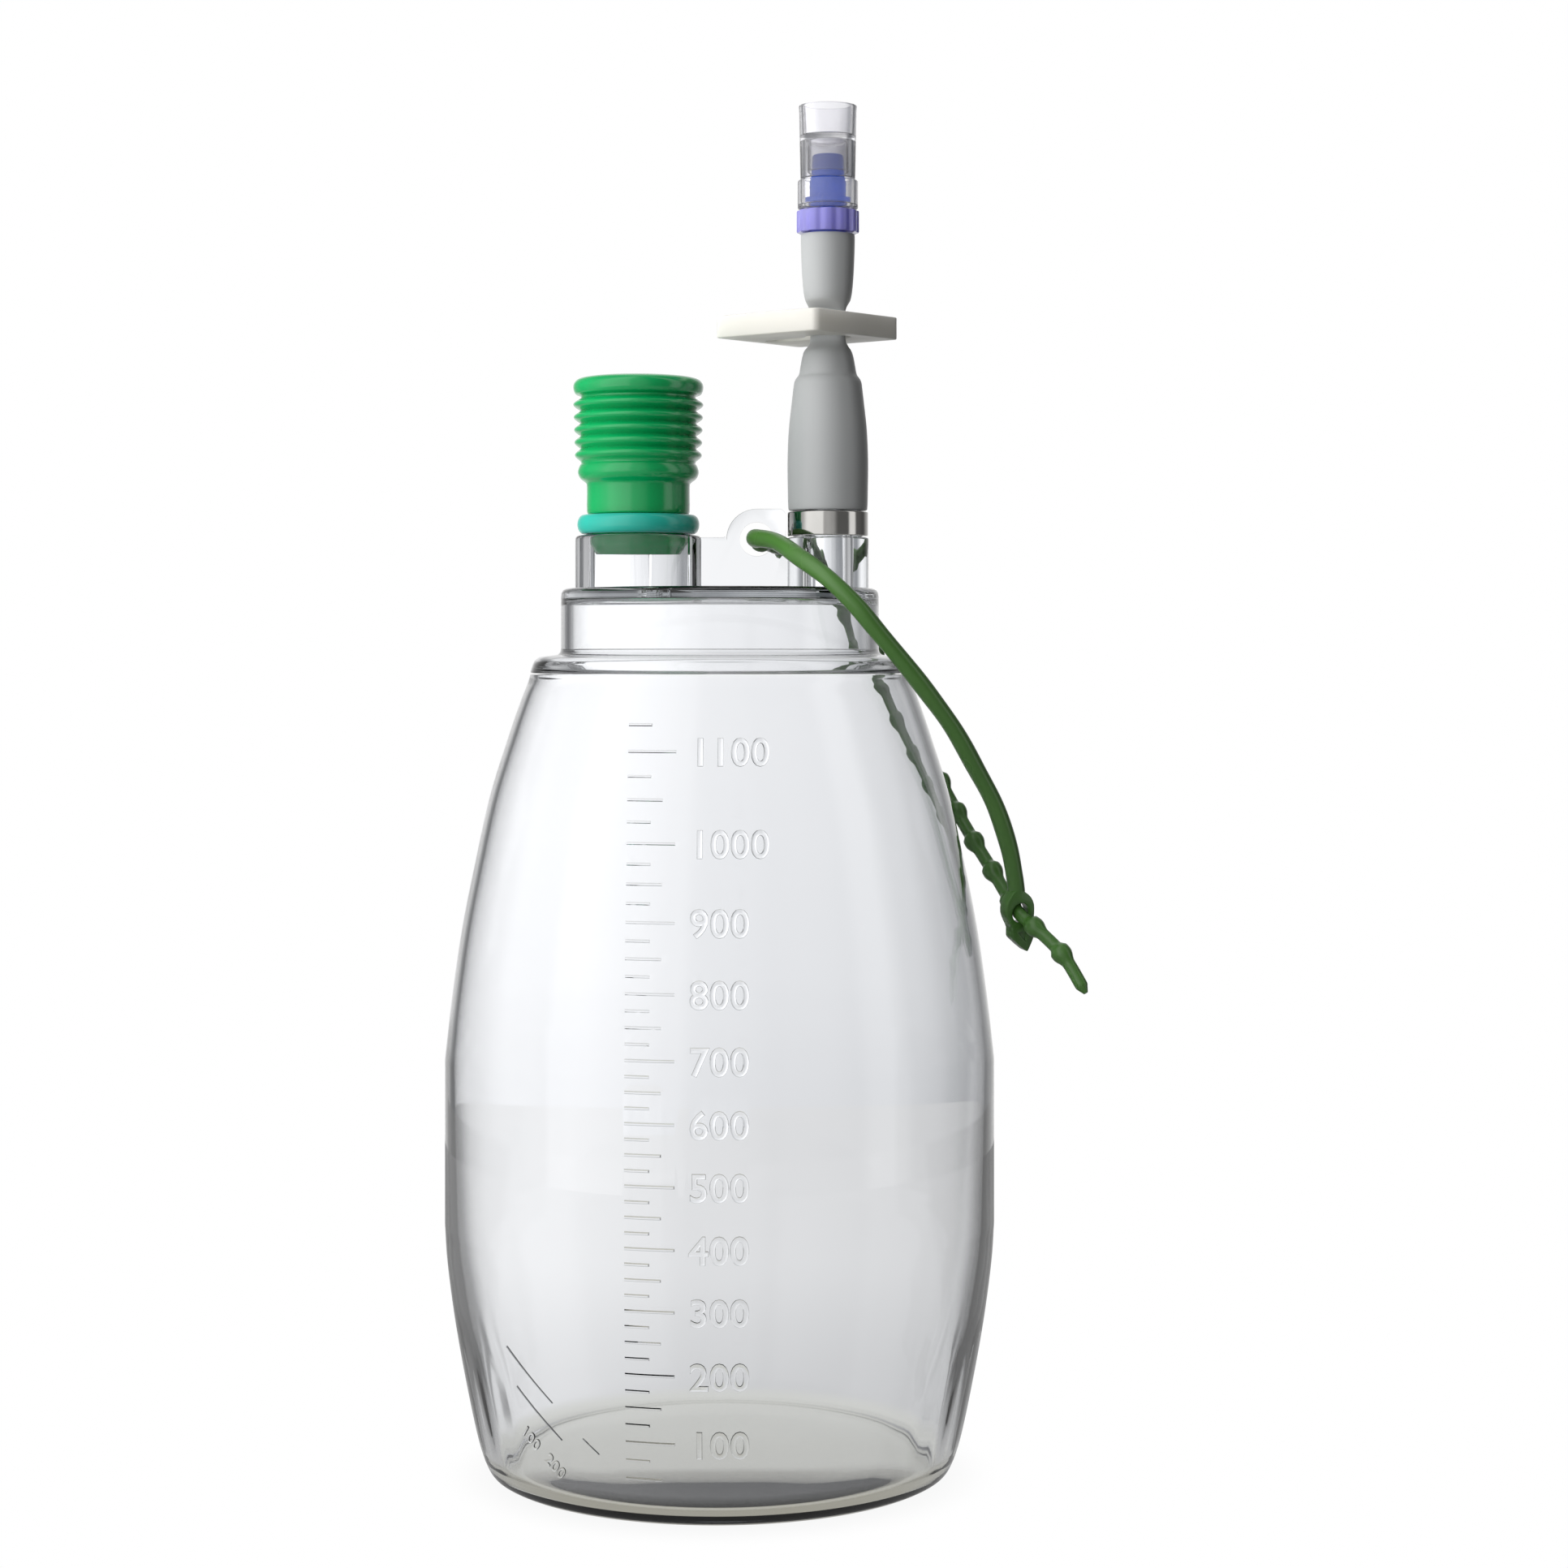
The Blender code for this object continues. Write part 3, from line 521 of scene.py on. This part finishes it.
def figures(text, left, z, high, turn=0.0):
    """Raised figures with rounded edges, laid round the barrel."""
    let_go()
    bpy.ops.object.text_add()
    obj = bpy.context.object
    obj.data.body = text
    obj.data.size = high / 0.7
    obj.data.extrude = MARK_HIGH * 0.4
    obj.data.bevel_depth = 0.055 * high
    obj.data.bevel_resolution = 1
    obj.data.offset = -0.018 * high
    obj.data.resolution_u = 4
    obj.data.space_character = 1.04
    bpy.ops.object.convert(target="MESH")
    obj = bpy.context.object
    edit(obj)
    bpy.ops.mesh.select_all(action="SELECT")
    bpy.ops.mesh.remove_doubles(threshold=1e-4)
    bpy.ops.mesh.select_all(action="SELECT")
    bpy.ops.mesh.normals_make_consistent(inside=False)
    done()
    obj.data.transform(Matrix.Translation((left, z, 0)) @ Matrix.Rotation(turn, 4, "Z")
                       @ Matrix.Translation((0, -high / 2, 0)))
    bend_round(obj)
    return obj


def make_barrel():
    outer = [(r * BODY_R, h * JOINT_Z) for h, r in OUTLINE]
    low, wide, high = outer[:8], outer[7:9], outer[8:]
    smooth = flowing(low, 5)[:-1] + wide[:1] + flowing(high, 6)

    # The inside is drawn thicker at the foot than the solid it stands for, whose wall is WALL all the way,
    # and its floor is up to half a millimetre lower in the middle.
    def wall(z):
        return float(np.interp(z, [0, 14, 32, 60, 90], [3.4, 3.3, 2.6, 1.9, WALL]))

    inner = [(r - wall(z), z) for r, z in smooth if z > FLOOR + 6.0]
    inner = corner((inner[0][0] - 1.4, FLOOR), (33, FLOOR), inner[0], 4.6, 8) + inner
    dished = [(0, FLOOR - 0.5), (10, FLOOR - 0.45), (20, FLOOR - 0.3), (28, FLOOR - 0.08), (32, FLOOR)]
    profile = flowing(dished, 3) + inner + smooth[::-1] + [(0, 0)]
    barrel = turned("barrel", profile, steps=160)
    for v in barrel.data.vertices:
        z, r = v.co.z / MM, math.hypot(v.co.x, v.co.y) / MM
        if 3.2 < z < 30 and r < body_radius(z) - 1.2 and r > 36:
            side = (abs(v.co.x) / MM / r) ** 6
            swell = side * math.sin(math.pi * (z - 3.2) / 26.8) * math.cos(32 * math.atan2(v.co.y, v.co.x))
            v.co.x *= 1 - 0.16 * swell / r
            v.co.y *= 1 - 0.16 * swell / r
    marks = []
    for volume in range(50, 1126, 25):
        kind = "long" if volume % 100 == 0 else "medium" if volume % 50 == 0 else "short"
        marks.append(bar(MARK_LEFT, MARK_RIGHT[kind], height_of(volume)))
        if kind == "long":
            marks.append(figures(str(volume), DIGIT_LEFT, height_of(volume), DIGIT_HIGH))
    # the small slanted scale near the foot, for reading with the bottle tipped
    slant = math.radians(-38)
    for u, z, long in ((-38.4, 27.0, 15.5), (-39.6, 22.5, 6.0), (-37.2, 20.6, 4.4), (-34.6, 18.6, 4.4),
                       (-32.0, 16.6, 4.4), (-23.9, 15.0, 4.8)):
        marks.append(bar(u - long / 2, u + long / 2, z, 0.45, slant))
    marks.append(figures("100", -40.5, 16.2, 2.4, slant))
    marks.append(figures("200", -34.3, 11.6, 2.4, slant))
    let_go()
    for m in marks:
        m.select_set(True)
    bpy.context.view_layer.objects.active = marks[0]
    bpy.ops.object.join()
    joined(barrel, marks[0], tangled=True)
    settle(barrel, 30)
    dress(barrel, CLEAR)
    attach(barrel, "bottle")
    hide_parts("bottle_body")


make_barrel()


# --- moulded top ----------------------------------------------------------------------------

def make_top():
    foot, rim, bore = 157.8, 37.58, 29.5
    points = [(0, 174.5), (31.5, 174.5), (31.5, 161.4), (36.6, 160.9), (rim, 157.8), (rim - 3.4, 157.8),
              (rim - 4.4, 159.6), (bore, 160.2), (bore, 172.3), (0, 172.3)]
    radii = [0, 1.6, 1.2, 1.6, 0.3, 0.4, 0.8, 1.0, 1.4, 0]
    top = turned("moulded_top", filleted(points, radii), steps=160)
    port = turned("port", filleted([(0, 185), (12.5, 185), (12.5, 173.4), (0, 173.4)], [0, 0.9, 0, 0]),
                  PORT_X, 96)
    joined(top, port)
    spigot = [(0, 205), (5.4, 205), (5.4, 202.5), (5.0, 202.4), (5.0, 190), (6.7, 190), (6.7, 184.6),
              (8.1, 184.6), (8.1, 173.4), (0, 173.4)]
    nozzle = turned("nozzle", filleted(spigot, [0, 0.8, 0, 0, 0, 0.3, 0.2, 0.4, 0, 0]), NOZZLE_X, 64)
    joined(top, nozzle)

    # flat web between the ports, with the rounded lobe round the strap hole
    let_go()
    bpy.ops.mesh.primitive_plane_add(size=0.001, location=(-5 * MM, -1.2 * MM, 173.4 * MM))
    web = bpy.context.object
    bpy.ops.object.mode_set(mode="EDIT")
    bpy.ops.mesh.select_all(action="SELECT")
    bpy.ops.mesh.merge(type="CENTER")
    lobe = [(7.3 + 6 * math.cos(math.radians(a)), 184.3 + 6 * math.sin(math.radians(a)))
            for a in range(90, 181, 9)]
    outline = [(14.3, 173.4), (14.3, 184.2), (13.0, 184.2), (13.0, 189.4), (12.1, 190.3)] + lobe
    outline += [(1.1, 184.9), (0.7, 184.65), (-5, 184.6), (-5, 173.4)]
    at = (-5, 173.4)
    for x, z in outline:
        bpy.ops.mesh.extrude_vertices_move(TRANSFORM_OT_translate={"value": ((x - at[0]) * MM, 0,
                                                                             (z - at[1]) * MM)})
        at = (x, z)
    bpy.ops.mesh.select_all(action="SELECT")
    bpy.ops.mesh.remove_doubles(threshold=1e-6)
    bpy.ops.mesh.select_all(action="SELECT")
    bpy.ops.mesh.edge_face_add()
    bpy.ops.mesh.extrude_region_move(TRANSFORM_OT_translate={"value": (0, 2.4 * MM, 0)})
    bpy.ops.mesh.select_all(action="SELECT")
    bpy.ops.mesh.normals_make_consistent(inside=False)
    done()
    soft = web.modifiers.new("soft edge", "BEVEL")
    soft.width = 0.45 * MM
    soft.segments = 3
    soft.limit_method = "ANGLE"
    soft.angle_limit = math.radians(50)
    apply_modifiers(web)
    settle(web)
    joined(top, web)
    joined(top, turned("port_bore", [(0, 190), (9.8, 190), (9.8, 160), (0, 160)], PORT_X, 96), "DIFFERENCE")
    joined(top, turned("nozzle_bore", [(0, 210), (3.4, 210), (3.4, 160), (0, 160)], NOZZLE_X, 48),
           "DIFFERENCE")
    hole = turned("strap_hole", [(0, 6), (3.4, 6), (3.4, -6), (0, -6)], 0, 48)
    hole.data.transform(Matrix.Translation(Vector((7.3, 0, 184.3)) * MM)
                        @ Matrix.Rotation(math.pi / 2, 4, "X"))
    joined(top, hole, "DIFFERENCE")
    settle(top, 30)
    dress(top, CLEAR)
    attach(top, "bottle")
    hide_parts("bottle_top")

    band = turned("crimp_band", filleted([(7.0, 184.9), (8.0, 184.9), (8.0, 189.7), (7.0, 189.7)],
                                         [0, 0.25, 0.25, 0]),
                  NOZZLE_X, 96, closed=True)
    dress(band, STEEL)
    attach(band, "bottle")
    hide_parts("nozzle_band")


make_top()


# --- bellows indicator ------------------------------------------------------------------------

def make_indicator():
    ring = [(10.85 + 1.25 * math.cos(a), 187.2 + 1.9 * math.sin(a))
            for a in np.linspace(0, 2 * math.pi, 28, False)]
    ring = turned("teal_ring", ring, PORT_X, 96, closed=True, angle=60)
    dress(ring, TEAL)
    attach(ring, "bottle")
    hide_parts("indicator_ring")

    foot = 195.3
    outside = [(8.2, 181.0), (8.5, 181.3), (9.5, 183.0), (9.5, 184.6), (9.3, 185.0), (9.3, 189.0),
               (9.6, 189.4), (10.2, 189.7), (10.2, 194.6), (10.5, 195.5), (11.5, 196.3), (12.0, 197.5),
               (11.7, 198.7), (11.3, 199.3)]
    outside = flowing(outside, 3)
    start = foot + 4.4
    inside = [(11.0 - 0.9, 199.3), (10.7, 197.5), (9.2, 195.2), (8.4, 194.0), (7.9, 190), (7.9, 181.0)]
    folds, inner_folds = [], []
    for fold in range(5):
        low = start + fold * 2.5
        crest = 12.9 - 0.3 * (1 - fold / 4)
        valley = 11.7
        for t in np.linspace(0, 1, 12, False):
            wave = (0.5 - 0.5 * math.cos(2 * math.pi * t)) ** 0.6
            folds.append((valley - 0.25 + (crest - valley + 0.25) * wave, low + 2.5 * t))
        inner_folds += [(valley - 1.1, low), (crest - 1.4, low + 1.25)]
    head = start + 12.5
    crown = flowing([(11.35, head), (11.5, head + 0.45), (12.5, head + 0.9), (12.9, head + 2.1),
                     (12.6, head + 3.2), (11.4, head + 3.95), (8.0, head + 4.3), (0.0, head + 4.4)], 5)
    cap_inside = [(0, head + 3.0), (9.6, head + 2.8), (10.4, head + 0.6)]
    profile = cap_inside + inner_folds[::-1] + inside + outside + folds + crown
    # turned() wants the outer side drawn from one end to the other, which this one is
    moulding = turned("bellows_indicator", profile, PORT_X, 96, angle=60)
    dress(moulding, GREEN)
    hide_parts("indicator_root", "indicator_bellows", "indicator_crown")
    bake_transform(moulding)


make_indicator()


# --- connector tube, clamp and luer end --------------------------------------------------------

WAIST_LONG, WAIST_SHORT, WAIST_TURN = 4.2, 2.0, math.radians(-40)
WAIST = (224.0, 229.2)


def make_tube():
    outside = flowing([(7.6, 190.0), (7.85, 190.5), (7.95, 194), (8.0, 200), (7.75, 206), (7.25, 210.7),
                       (6.75, 215.0)], 4)
    outside += flowing([(6.65, 215.5), (6.3, 216.2), (5.75, 217.0), (5.4, 218.8), (5.1, 220.4),
                        (4.5, 222.4)], 4)
    outside += [(4.3, z) for z in np.linspace(223.2, 230.2, 12)]
    outside += flowing([(4.4, 231.3), (4.8, 233.2), (5.1, 236.5), (5.3, 241), (5.35, 244.4), (5.1, 244.8)], 5)
    inside = [(3.9, 244.8), (3.9, 236.8), (3.2, 235.8), (3.0, 231.8), (2.0, 229.4), (2.0, 223.8),
              (3.2, 222), (3.4, 208), (5.7, 206), (5.7, 190.0)]
    tube = turned("rubber_tube", outside + inside, NOZZLE_X, 96, closed=True, angle=50)
    low, high = WAIST
    along = Vector((math.cos(WAIST_TURN), math.sin(WAIST_TURN), 0))
    across = Vector((-along.y, along.x, 0))
    middle = Vector((NOZZLE_X * MM, 0, 0))
    for v in tube.data.vertices:
        z = v.co.z / MM
        near = max(low - z, z - high, 0) / 2.6
        if near >= 1:
            continue
        flat = 1 - near * near * (3 - 2 * near)
        off = v.co - middle
        radius = math.hypot(off.x, off.y) / MM
        wall = radius > 2.6
        long, short = (WAIST_LONG, WAIST_SHORT) if wall else (WAIST_LONG - 1.1, WAIST_SHORT - 1.1)
        a, b = off.dot(along) / MM / radius, off.dot(across) / MM / radius
        aimed = along * (a * long) + across * (b * short)
        plain = along * (a * radius) + across * (b * radius)
        mixed = plain.lerp(aimed, flat)
        v.co = middle + mixed * MM + Vector((0, 0, v.co.z))
    settle(tube, 50)
    dress(tube, GREY)
    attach(tube, "bottle")
    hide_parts("connector_tube")


make_tube()


def make_clamp():
    side, low, high, offset = 26.2, 224.4, 228.8, 5.35
    along = Vector((math.cos(WAIST_TURN), math.sin(WAIST_TURN), 0))
    middle = Vector((NOZZLE_X, 0, (low + high) / 2)) - along * offset
    let_go()
    bpy.ops.mesh.primitive_cube_add(size=1)
    plate = bpy.context.object
    plate.name = "clamp_plate"
    bpy.ops.object.mode_set(mode="EDIT")
    bpy.ops.mesh.select_all(action="SELECT")
    bpy.ops.transform.resize(value=(side * MM, side * MM, (high - low) * MM))
    done()
    edit(plate)
    bpy.ops.mesh.select_mode(type="EDGE")
    bpy.ops.mesh.select_all(action="DESELECT")
    done()
    for e in plate.data.edges:
        a, b = (plate.data.vertices[i].co for i in e.vertices)
        e.select = abs(a.z - b.z) > 1e-4
    bpy.ops.object.mode_set(mode="EDIT")
    bpy.ops.mesh.bevel(offset=1.3 * MM, segments=6, profile=0.5)
    bpy.ops.mesh.select_mode(type="VERT")
    done()
    # keyhole slot
    wide, narrow, far = WAIST_LONG + 0.3, WAIST_SHORT + 0.3, -(side / 2 - 3.0)
    slot = turned("slot_end", [(0, 6), (wide, 6), (wide, -6), (0, -6)], offset, 64)
    run = turned("slot_far", [(0, 6), (narrow, 6), (narrow, -6), (0, -6)], far + narrow, 32)
    let_go()
    bpy.ops.mesh.primitive_cube_add(size=1)
    mid = bpy.context.object
    bpy.ops.object.mode_set(mode="EDIT")
    bpy.ops.mesh.select_all(action="SELECT")
    bpy.ops.transform.resize(value=((offset - far - narrow) * MM, 2 * narrow * MM, 12 * MM))
    bpy.ops.transform.translate(value=((offset + far + narrow) / 2 * MM, 0, 0))
    done()
    for cut in (slot, run, mid):
        joined(plate, cut, "DIFFERENCE")
    soft = plate.modifiers.new("soft edge", "BEVEL")
    soft.width = 0.45 * MM
    soft.segments = 3
    soft.limit_method = "ANGLE"
    soft.angle_limit = math.radians(50)
    apply_modifiers(plate)
    plate.data.transform(Matrix.Translation(middle * MM) @ Matrix.Rotation(WAIST_TURN, 4, "Z"))
    settle(plate, 40)
    dress(plate, WHITE)
    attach(plate, "clamp")
    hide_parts("slide_clamp")


make_clamp()


def make_luer():
    hub = [(1.4, 260.6), (3.0, 260.6), (3.2, 260.3), (3.35, 255.5), (3.6, 254.9), (3.6, 252.0),
           (4.5, 251.9), (4.5, 251.0), (3.6, 250.9), (3.6, 245.0), (3.5, 241.4), (3.6, 241.2), (2.7, 237.2),
           (1.4, 237.2)]
    hub = turned("luer_hub_blue", hub, NOZZLE_X, 64, closed=True)
    dress(hub, BLUE)
    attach(hub, "bottle")
    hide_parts("luer_hub")

    ring = turned("grip_ring_fluted", [(3.9, 245.1), (6.1, 245.1), (6.2, 245.3), (6.2, 249.2), (6.1, 249.4),
                                       (3.9, 249.4)], NOZZLE_X, 144, closed=True)
    for v in ring.data.vertices:
        off = Vector((v.co.x / MM - NOZZLE_X, v.co.y / MM))
        if off.length > 5.5:
            a = math.atan2(off.y, off.x)
            off = off.normalized() * (off.length - 0.3 * (0.5 - 0.5 * math.cos(12 * a)) ** 2)
            v.co.x, v.co.y = (off.x + NOZZLE_X) * MM, off.y * MM
    settle(ring, 40)
    dress(ring, VIOLET)
    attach(ring, "bottle")
    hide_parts("grip_ring")

    collar = turned("lock_collar_clear", filleted(
        [(3.9, 249.7), (6.0, 249.7), (6.0, 255.5), (4.8, 255.5), (4.8, 250.7), (3.9, 250.7)],
        [0, 0.5, 0.5, 0.2, 0.2, 0]), NOZZLE_X, 96, closed=True)
    dress(collar, CLEAR_SMALL)
    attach(collar, "collar")
    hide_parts("lock_collar")

    cap = turned("luer_cap_clear", filleted(
        [(0, 264.4), (4.45, 264.4), (4.7, 270.3), (5.8, 270.3), (5.7, 268.9), (5.45, 255.8), (4.55, 255.8),
         (4.45, 263.4), (4.15, 263.4), (4.15, 257.3), (3.65, 257.3), (3.65, 263.4), (0, 263.4)],
        [0, 0.3, 0.2, 0.3, 0.3, 0.2, 0.2, 0.1, 0.1, 0.1, 0.1, 0.1, 0]), NOZZLE_X, 96)
    dress(cap, CLEAR_SMALL)
    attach(cap, "cap")
    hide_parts("luer_cap")


make_luer()


# --- floor and light --------------------------------------------------------------------------

def turn_ramp(name, stops):
    """A value that depends on the compass bearing of a vector: 0 is straight back, 90 to the right."""
    tree, start, end = group(name, {"Vector": ("NodeSocketVector", (0, 1, 0))}, {"Value": "NodeSocketFloat"})
    link = tree.links.new
    parts = tree.nodes.new("ShaderNodeSeparateXYZ")
    link(start.outputs["Vector"], parts.inputs["Vector"])
    bearing = tree.nodes.new("ShaderNodeMath")
    bearing.operation = "ARCTAN2"
    link(parts.outputs["X"], bearing.inputs[0])
    link(parts.outputs["Y"], bearing.inputs[1])
    share = tree.nodes.new("ShaderNodeMath")
    share.operation = "MULTIPLY_ADD"
    share.inputs[1].default_value = 0.5 / math.pi
    share.inputs[2].default_value = 0.5
    link(bearing.outputs[0], share.inputs[0])
    ramp = tree.nodes.new("ShaderNodeValToRGB")
    ramp.color_ramp.interpolation = "EASE"
    while len(ramp.color_ramp.elements) > 1:
        ramp.color_ramp.elements.remove(ramp.color_ramp.elements[-1])
    for i, (degrees, value) in enumerate(stops):
        at = degrees / 360 + 0.5
        mark = ramp.color_ramp.elements[0] if i == 0 else ramp.color_ramp.elements.new(at)
        mark.position = at
        mark.color = (value / 4, value / 4, value / 4, 1)
    link(share.outputs[0], ramp.inputs["Fac"])
    whole = tree.nodes.new("ShaderNodeMath")
    whole.operation = "MULTIPLY"
    whole.inputs[1].default_value = 4
    link(ramp.outputs["Color"], whole.inputs[0])
    link(whole.outputs[0], end.inputs["Value"])
    return tree


# What is seen through the clear walls: bright straight behind, a little darker to either side
THROUGH = turn_ramp("seen_through", [
    (-180, 1.1), (-166, 1.1), (-157, 0.6), (-149, 1.1), (-112, 0.6), (-104, 1.1), (-76, 1.1), (-66, 0.6),
    (-58, 1.1), (-44, 1.2), (-31, 0.3), (-26, 0.36), (-19, 1.4), (-8, 1.42), (-4.6, 1.24), (-2.5, 1.1),
    (-1.5, 1.0), (1.5, 0.97), (4, 0.9), (8, 0.66), (15, 0.38), (30, 0.3), (42, 1.1), (58, 1.1), (67, 0.6),
    (76, 1.1), (104, 1.1), (112, 0.6), (149, 1.1), (157, 0.6), (180, 1.1)
])
# What the shiny surfaces mirror: a broad soft light on the left, a narrow one on the right, darkness between
MIRRORED = turn_ramp("mirrored", [
    (-180, 0.6), (-170, 0.6), (-163, 1.25), (-120, 1.35), (-100, 0.6), (-85, 0.3), (-60, 0.14), (-35, 0.3),
    (-10, 0.9), (10, 0.9), (35, 0.5), (60, 0.1), (90, 0.14), (100, 1.1), (112, 1.1), (122, 0.14),
    (150, 0.14), (168, 0.5), (180, 0.6)
])
# What lights the matt surfaces
LIT_BY = turn_ramp("lit_by", [
    (-180, 0.8), (-140, 2.4), (-90, 3.2), (-45, 1.5), (0, 0.5), (45, 0.2), (80, 0.03), (130, 0.03),
    (160, 0.3), (180, 0.8)
])


def call(nodes, link, tree, vector):
    use = nodes.new("ShaderNodeGroup")
    use.node_tree = tree
    link(vector, use.inputs["Vector"])
    return use.outputs["Value"]


def pick(nodes, link, flag, yes, no):
    """yes where the flag is 1, no elsewhere. Each is a socket or a grey value."""
    mix = nodes.new("ShaderNodeMix")
    mix.data_type = "RGBA"
    mix.clamp_factor = False
    link(flag, mix.inputs["Factor"])
    for side, value in (("A", no), ("B", yes)):
        if isinstance(value, (int, float)):
            mix.inputs[side].default_value = (value, value, value, 1)
        elif isinstance(value, tuple):
            mix.inputs[side].default_value = value
        else:
            link(value, mix.inputs[side])
    return mix.outputs["Result"]


def eased(nodes, link, value, low, high, to_low=0.0, to_high=1.0):
    span = nodes.new("ShaderNodeMapRange")
    span.interpolation_type = "SMOOTHSTEP"
    for label, number in (("From Min", low), ("From Max", high), ("To Min", to_low), ("To Max", to_high)):
        span.inputs[label].default_value = number
    link(value, span.inputs["Value"])
    return span.outputs["Result"]


def times(nodes, link, one, two):
    step = nodes.new("ShaderNodeMath")
    step.operation = "MULTIPLY"
    link(one, step.inputs[0])
    if isinstance(two, (int, float)):
        step.inputs[1].default_value = two
    else:
        link(two, step.inputs[1])
    return step.outputs[0]


def inside_dimmed(nodes, link, ray, color, to):
    """Light that was turned back inside a clear wall comes from the dark sides of the room."""
    turned_back = nodes.new("ShaderNodeMath")
    turned_back.operation = "MINIMUM"
    turned_back.inputs[1].default_value = 1.0
    link(ray["Glossy Depth"], turned_back.inputs[0])
    dim = eased(nodes, link, turned_back.outputs[0], 0.0, 1.0, 1.0, to)
    mix = nodes.new("ShaderNodeMix")
    mix.data_type = "RGBA"
    mix.blend_type = "MULTIPLY"
    mix.inputs["Factor"].default_value = 1.0
    link(color, mix.inputs["A"])
    link(dim, mix.inputs["B"])
    return mix.outputs["Result"]


def make_stage():
    """The pale floor. It stays white to the camera but for a faint painted shade at the foot, and has painted
    shade under, behind and beside the bottle where it is only seen through the clear walls."""
    let_go()
    bpy.ops.mesh.primitive_circle_add(vertices=96, radius=0.45, fill_type="NGON", location=(0, 0, -0.0004))
    floor = bpy.context.object
    floor.name = "floor"
    mat = bpy.data.materials.new("pale_floor")
    mat.use_nodes = True
    nodes, link = mat.node_tree.nodes, mat.node_tree.links.new
    nodes.remove(nodes["Principled BSDF"])
    glow = nodes.new("ShaderNodeEmission")
    where = nodes.new("ShaderNodeTexCoord").outputs["Object"]
    far = nodes.new("ShaderNodeVectorMath")
    far.operation = "LENGTH"
    link(where, far.inputs[0])
    far = far.outputs["Value"]
    parts = nodes.new("ShaderNodeSeparateXYZ")
    link(where, parts.inputs[0])
    ray = nodes.new("ShaderNodeLightPath").outputs
    shade = eased(nodes, link, far, 0.040, 0.056, 0.93, 1.0)
    # painted shade under the bottle, seen through the base: grey-brown at the front, lighter grey at the back
    under = pick(nodes, link, eased(nodes, link, parts.outputs["Y"], -0.045, 0.030), (0.74, 0.74, 0.69, 1),
                 (0.52, 0.50, 0.42, 1))
    # painted light of the room laid on the floor: the same left and right as the room behind, from where the
    # bottle is mostly looked at
    onward = nodes.new("ShaderNodeVectorMath")
    onward.operation = "ADD"
    onward.inputs[1].default_value = (-0.0127, 0.644, 0)
    link(where, onward.inputs[0])
    sides = call(nodes, link, THROUGH, onward.outputs[0])
    # painted shade to either side, by how far out a place is against how far back
    wide = nodes.new("ShaderNodeMath")
    wide.operation = "ABSOLUTE"
    link(parts.outputs["X"], wide.inputs[0])
    out = nodes.new("ShaderNodeMath")
    out.operation = "SUBTRACT"
    out.inputs[1].default_value = 0.048
    link(wide.outputs[0], out.inputs[0])
    back = nodes.new("ShaderNodeMath")
    back.operation = "MAXIMUM"
    back.inputs[1].default_value = 0.03
    link(parts.outputs["Y"], back.inputs[0])
    slant = nodes.new("ShaderNodeMath")
    slant.operation = "DIVIDE"
    link(out.outputs[0], slant.inputs[0])
    link(back.outputs[0], slant.inputs[1])
    sides = times(nodes, link, sides, eased(nodes, link, slant.outputs[0], 0.16, 0.40, 1.0, 0.22))
    sides = pick(nodes, link, eased(nodes, link, parts.outputs["Y"], 0.0, 0.03), sides, 1.0)
    # painted shade behind the bottle, darkest close to it
    behind = times(nodes, link, sides, eased(nodes, link, far, 0.03, 0.20, 0.70, 0.84))
    through = pick(nodes, link, eased(nodes, link, far, 0.044, 0.062), behind, under)
    # painted shade where a ray was turned back inside a clear wall
    through = inside_dimmed(nodes, link, ray, through, 0.7)
    # painted light: to glossy rays the floor glows flat grey, and to matt surfaces it glows as painted bounce
    # light, brighter on its left
    soft = pick(nodes, link, ray["Is Glossy Ray"], 0.42,
                times(nodes, link, call(nodes, link, LIT_BY, where), 0.35))
    seen = pick(nodes, link, ray["Is Transmission Ray"], through, soft)
    link(pick(nodes, link, ray["Is Camera Ray"], shade, seen), glow.inputs["Color"])
    link(glow.outputs["Emission"], nodes["Material Output"].inputs["Surface"])
    floor.data.materials.append(mat)


def make_world():
    world = bpy.data.worlds.new("studio")
    bpy.context.scene.world = world
    world.use_nodes = True
    nodes, link = world.node_tree.nodes, world.node_tree.links.new
    nodes.clear()
    out = nodes.new("ShaderNodeOutputWorld")
    sky = nodes.new("ShaderNodeBackground")
    link(sky.outputs["Background"], out.inputs["Surface"])
    way = nodes.new("ShaderNodeTexCoord").outputs["Generated"]
    parts = nodes.new("ShaderNodeSeparateXYZ")
    link(way, parts.inputs[0])
    up = parts.outputs["Z"]
    ray = nodes.new("ShaderNodeLightPath").outputs
    through = times(nodes, link, call(nodes, link, THROUGH, way),
                    eased(nodes, link, up, 0.18, 0.42, 1.0, 0.5))
    through = times(nodes, link, through, eased(nodes, link, up, -0.25, 0.02, 0.80, 1.0))
    tinted = pick(nodes, link, through, (0.985, 0.99, 1.0, 1), (0.0, 0.012, 0.03, 1))
    seen = pick(nodes, link, ray["Is Glossy Ray"], call(nodes, link, MIRRORED, way),
                call(nodes, link, LIT_BY, way))
    seen = pick(nodes, link, ray["Is Transmission Ray"], inside_dimmed(nodes, link, ray, tinted, 0.5), seen)
    link(pick(nodes, link, ray["Is Camera Ray"], 1.0, seen), sky.inputs["Color"])


make_stage()
make_world()
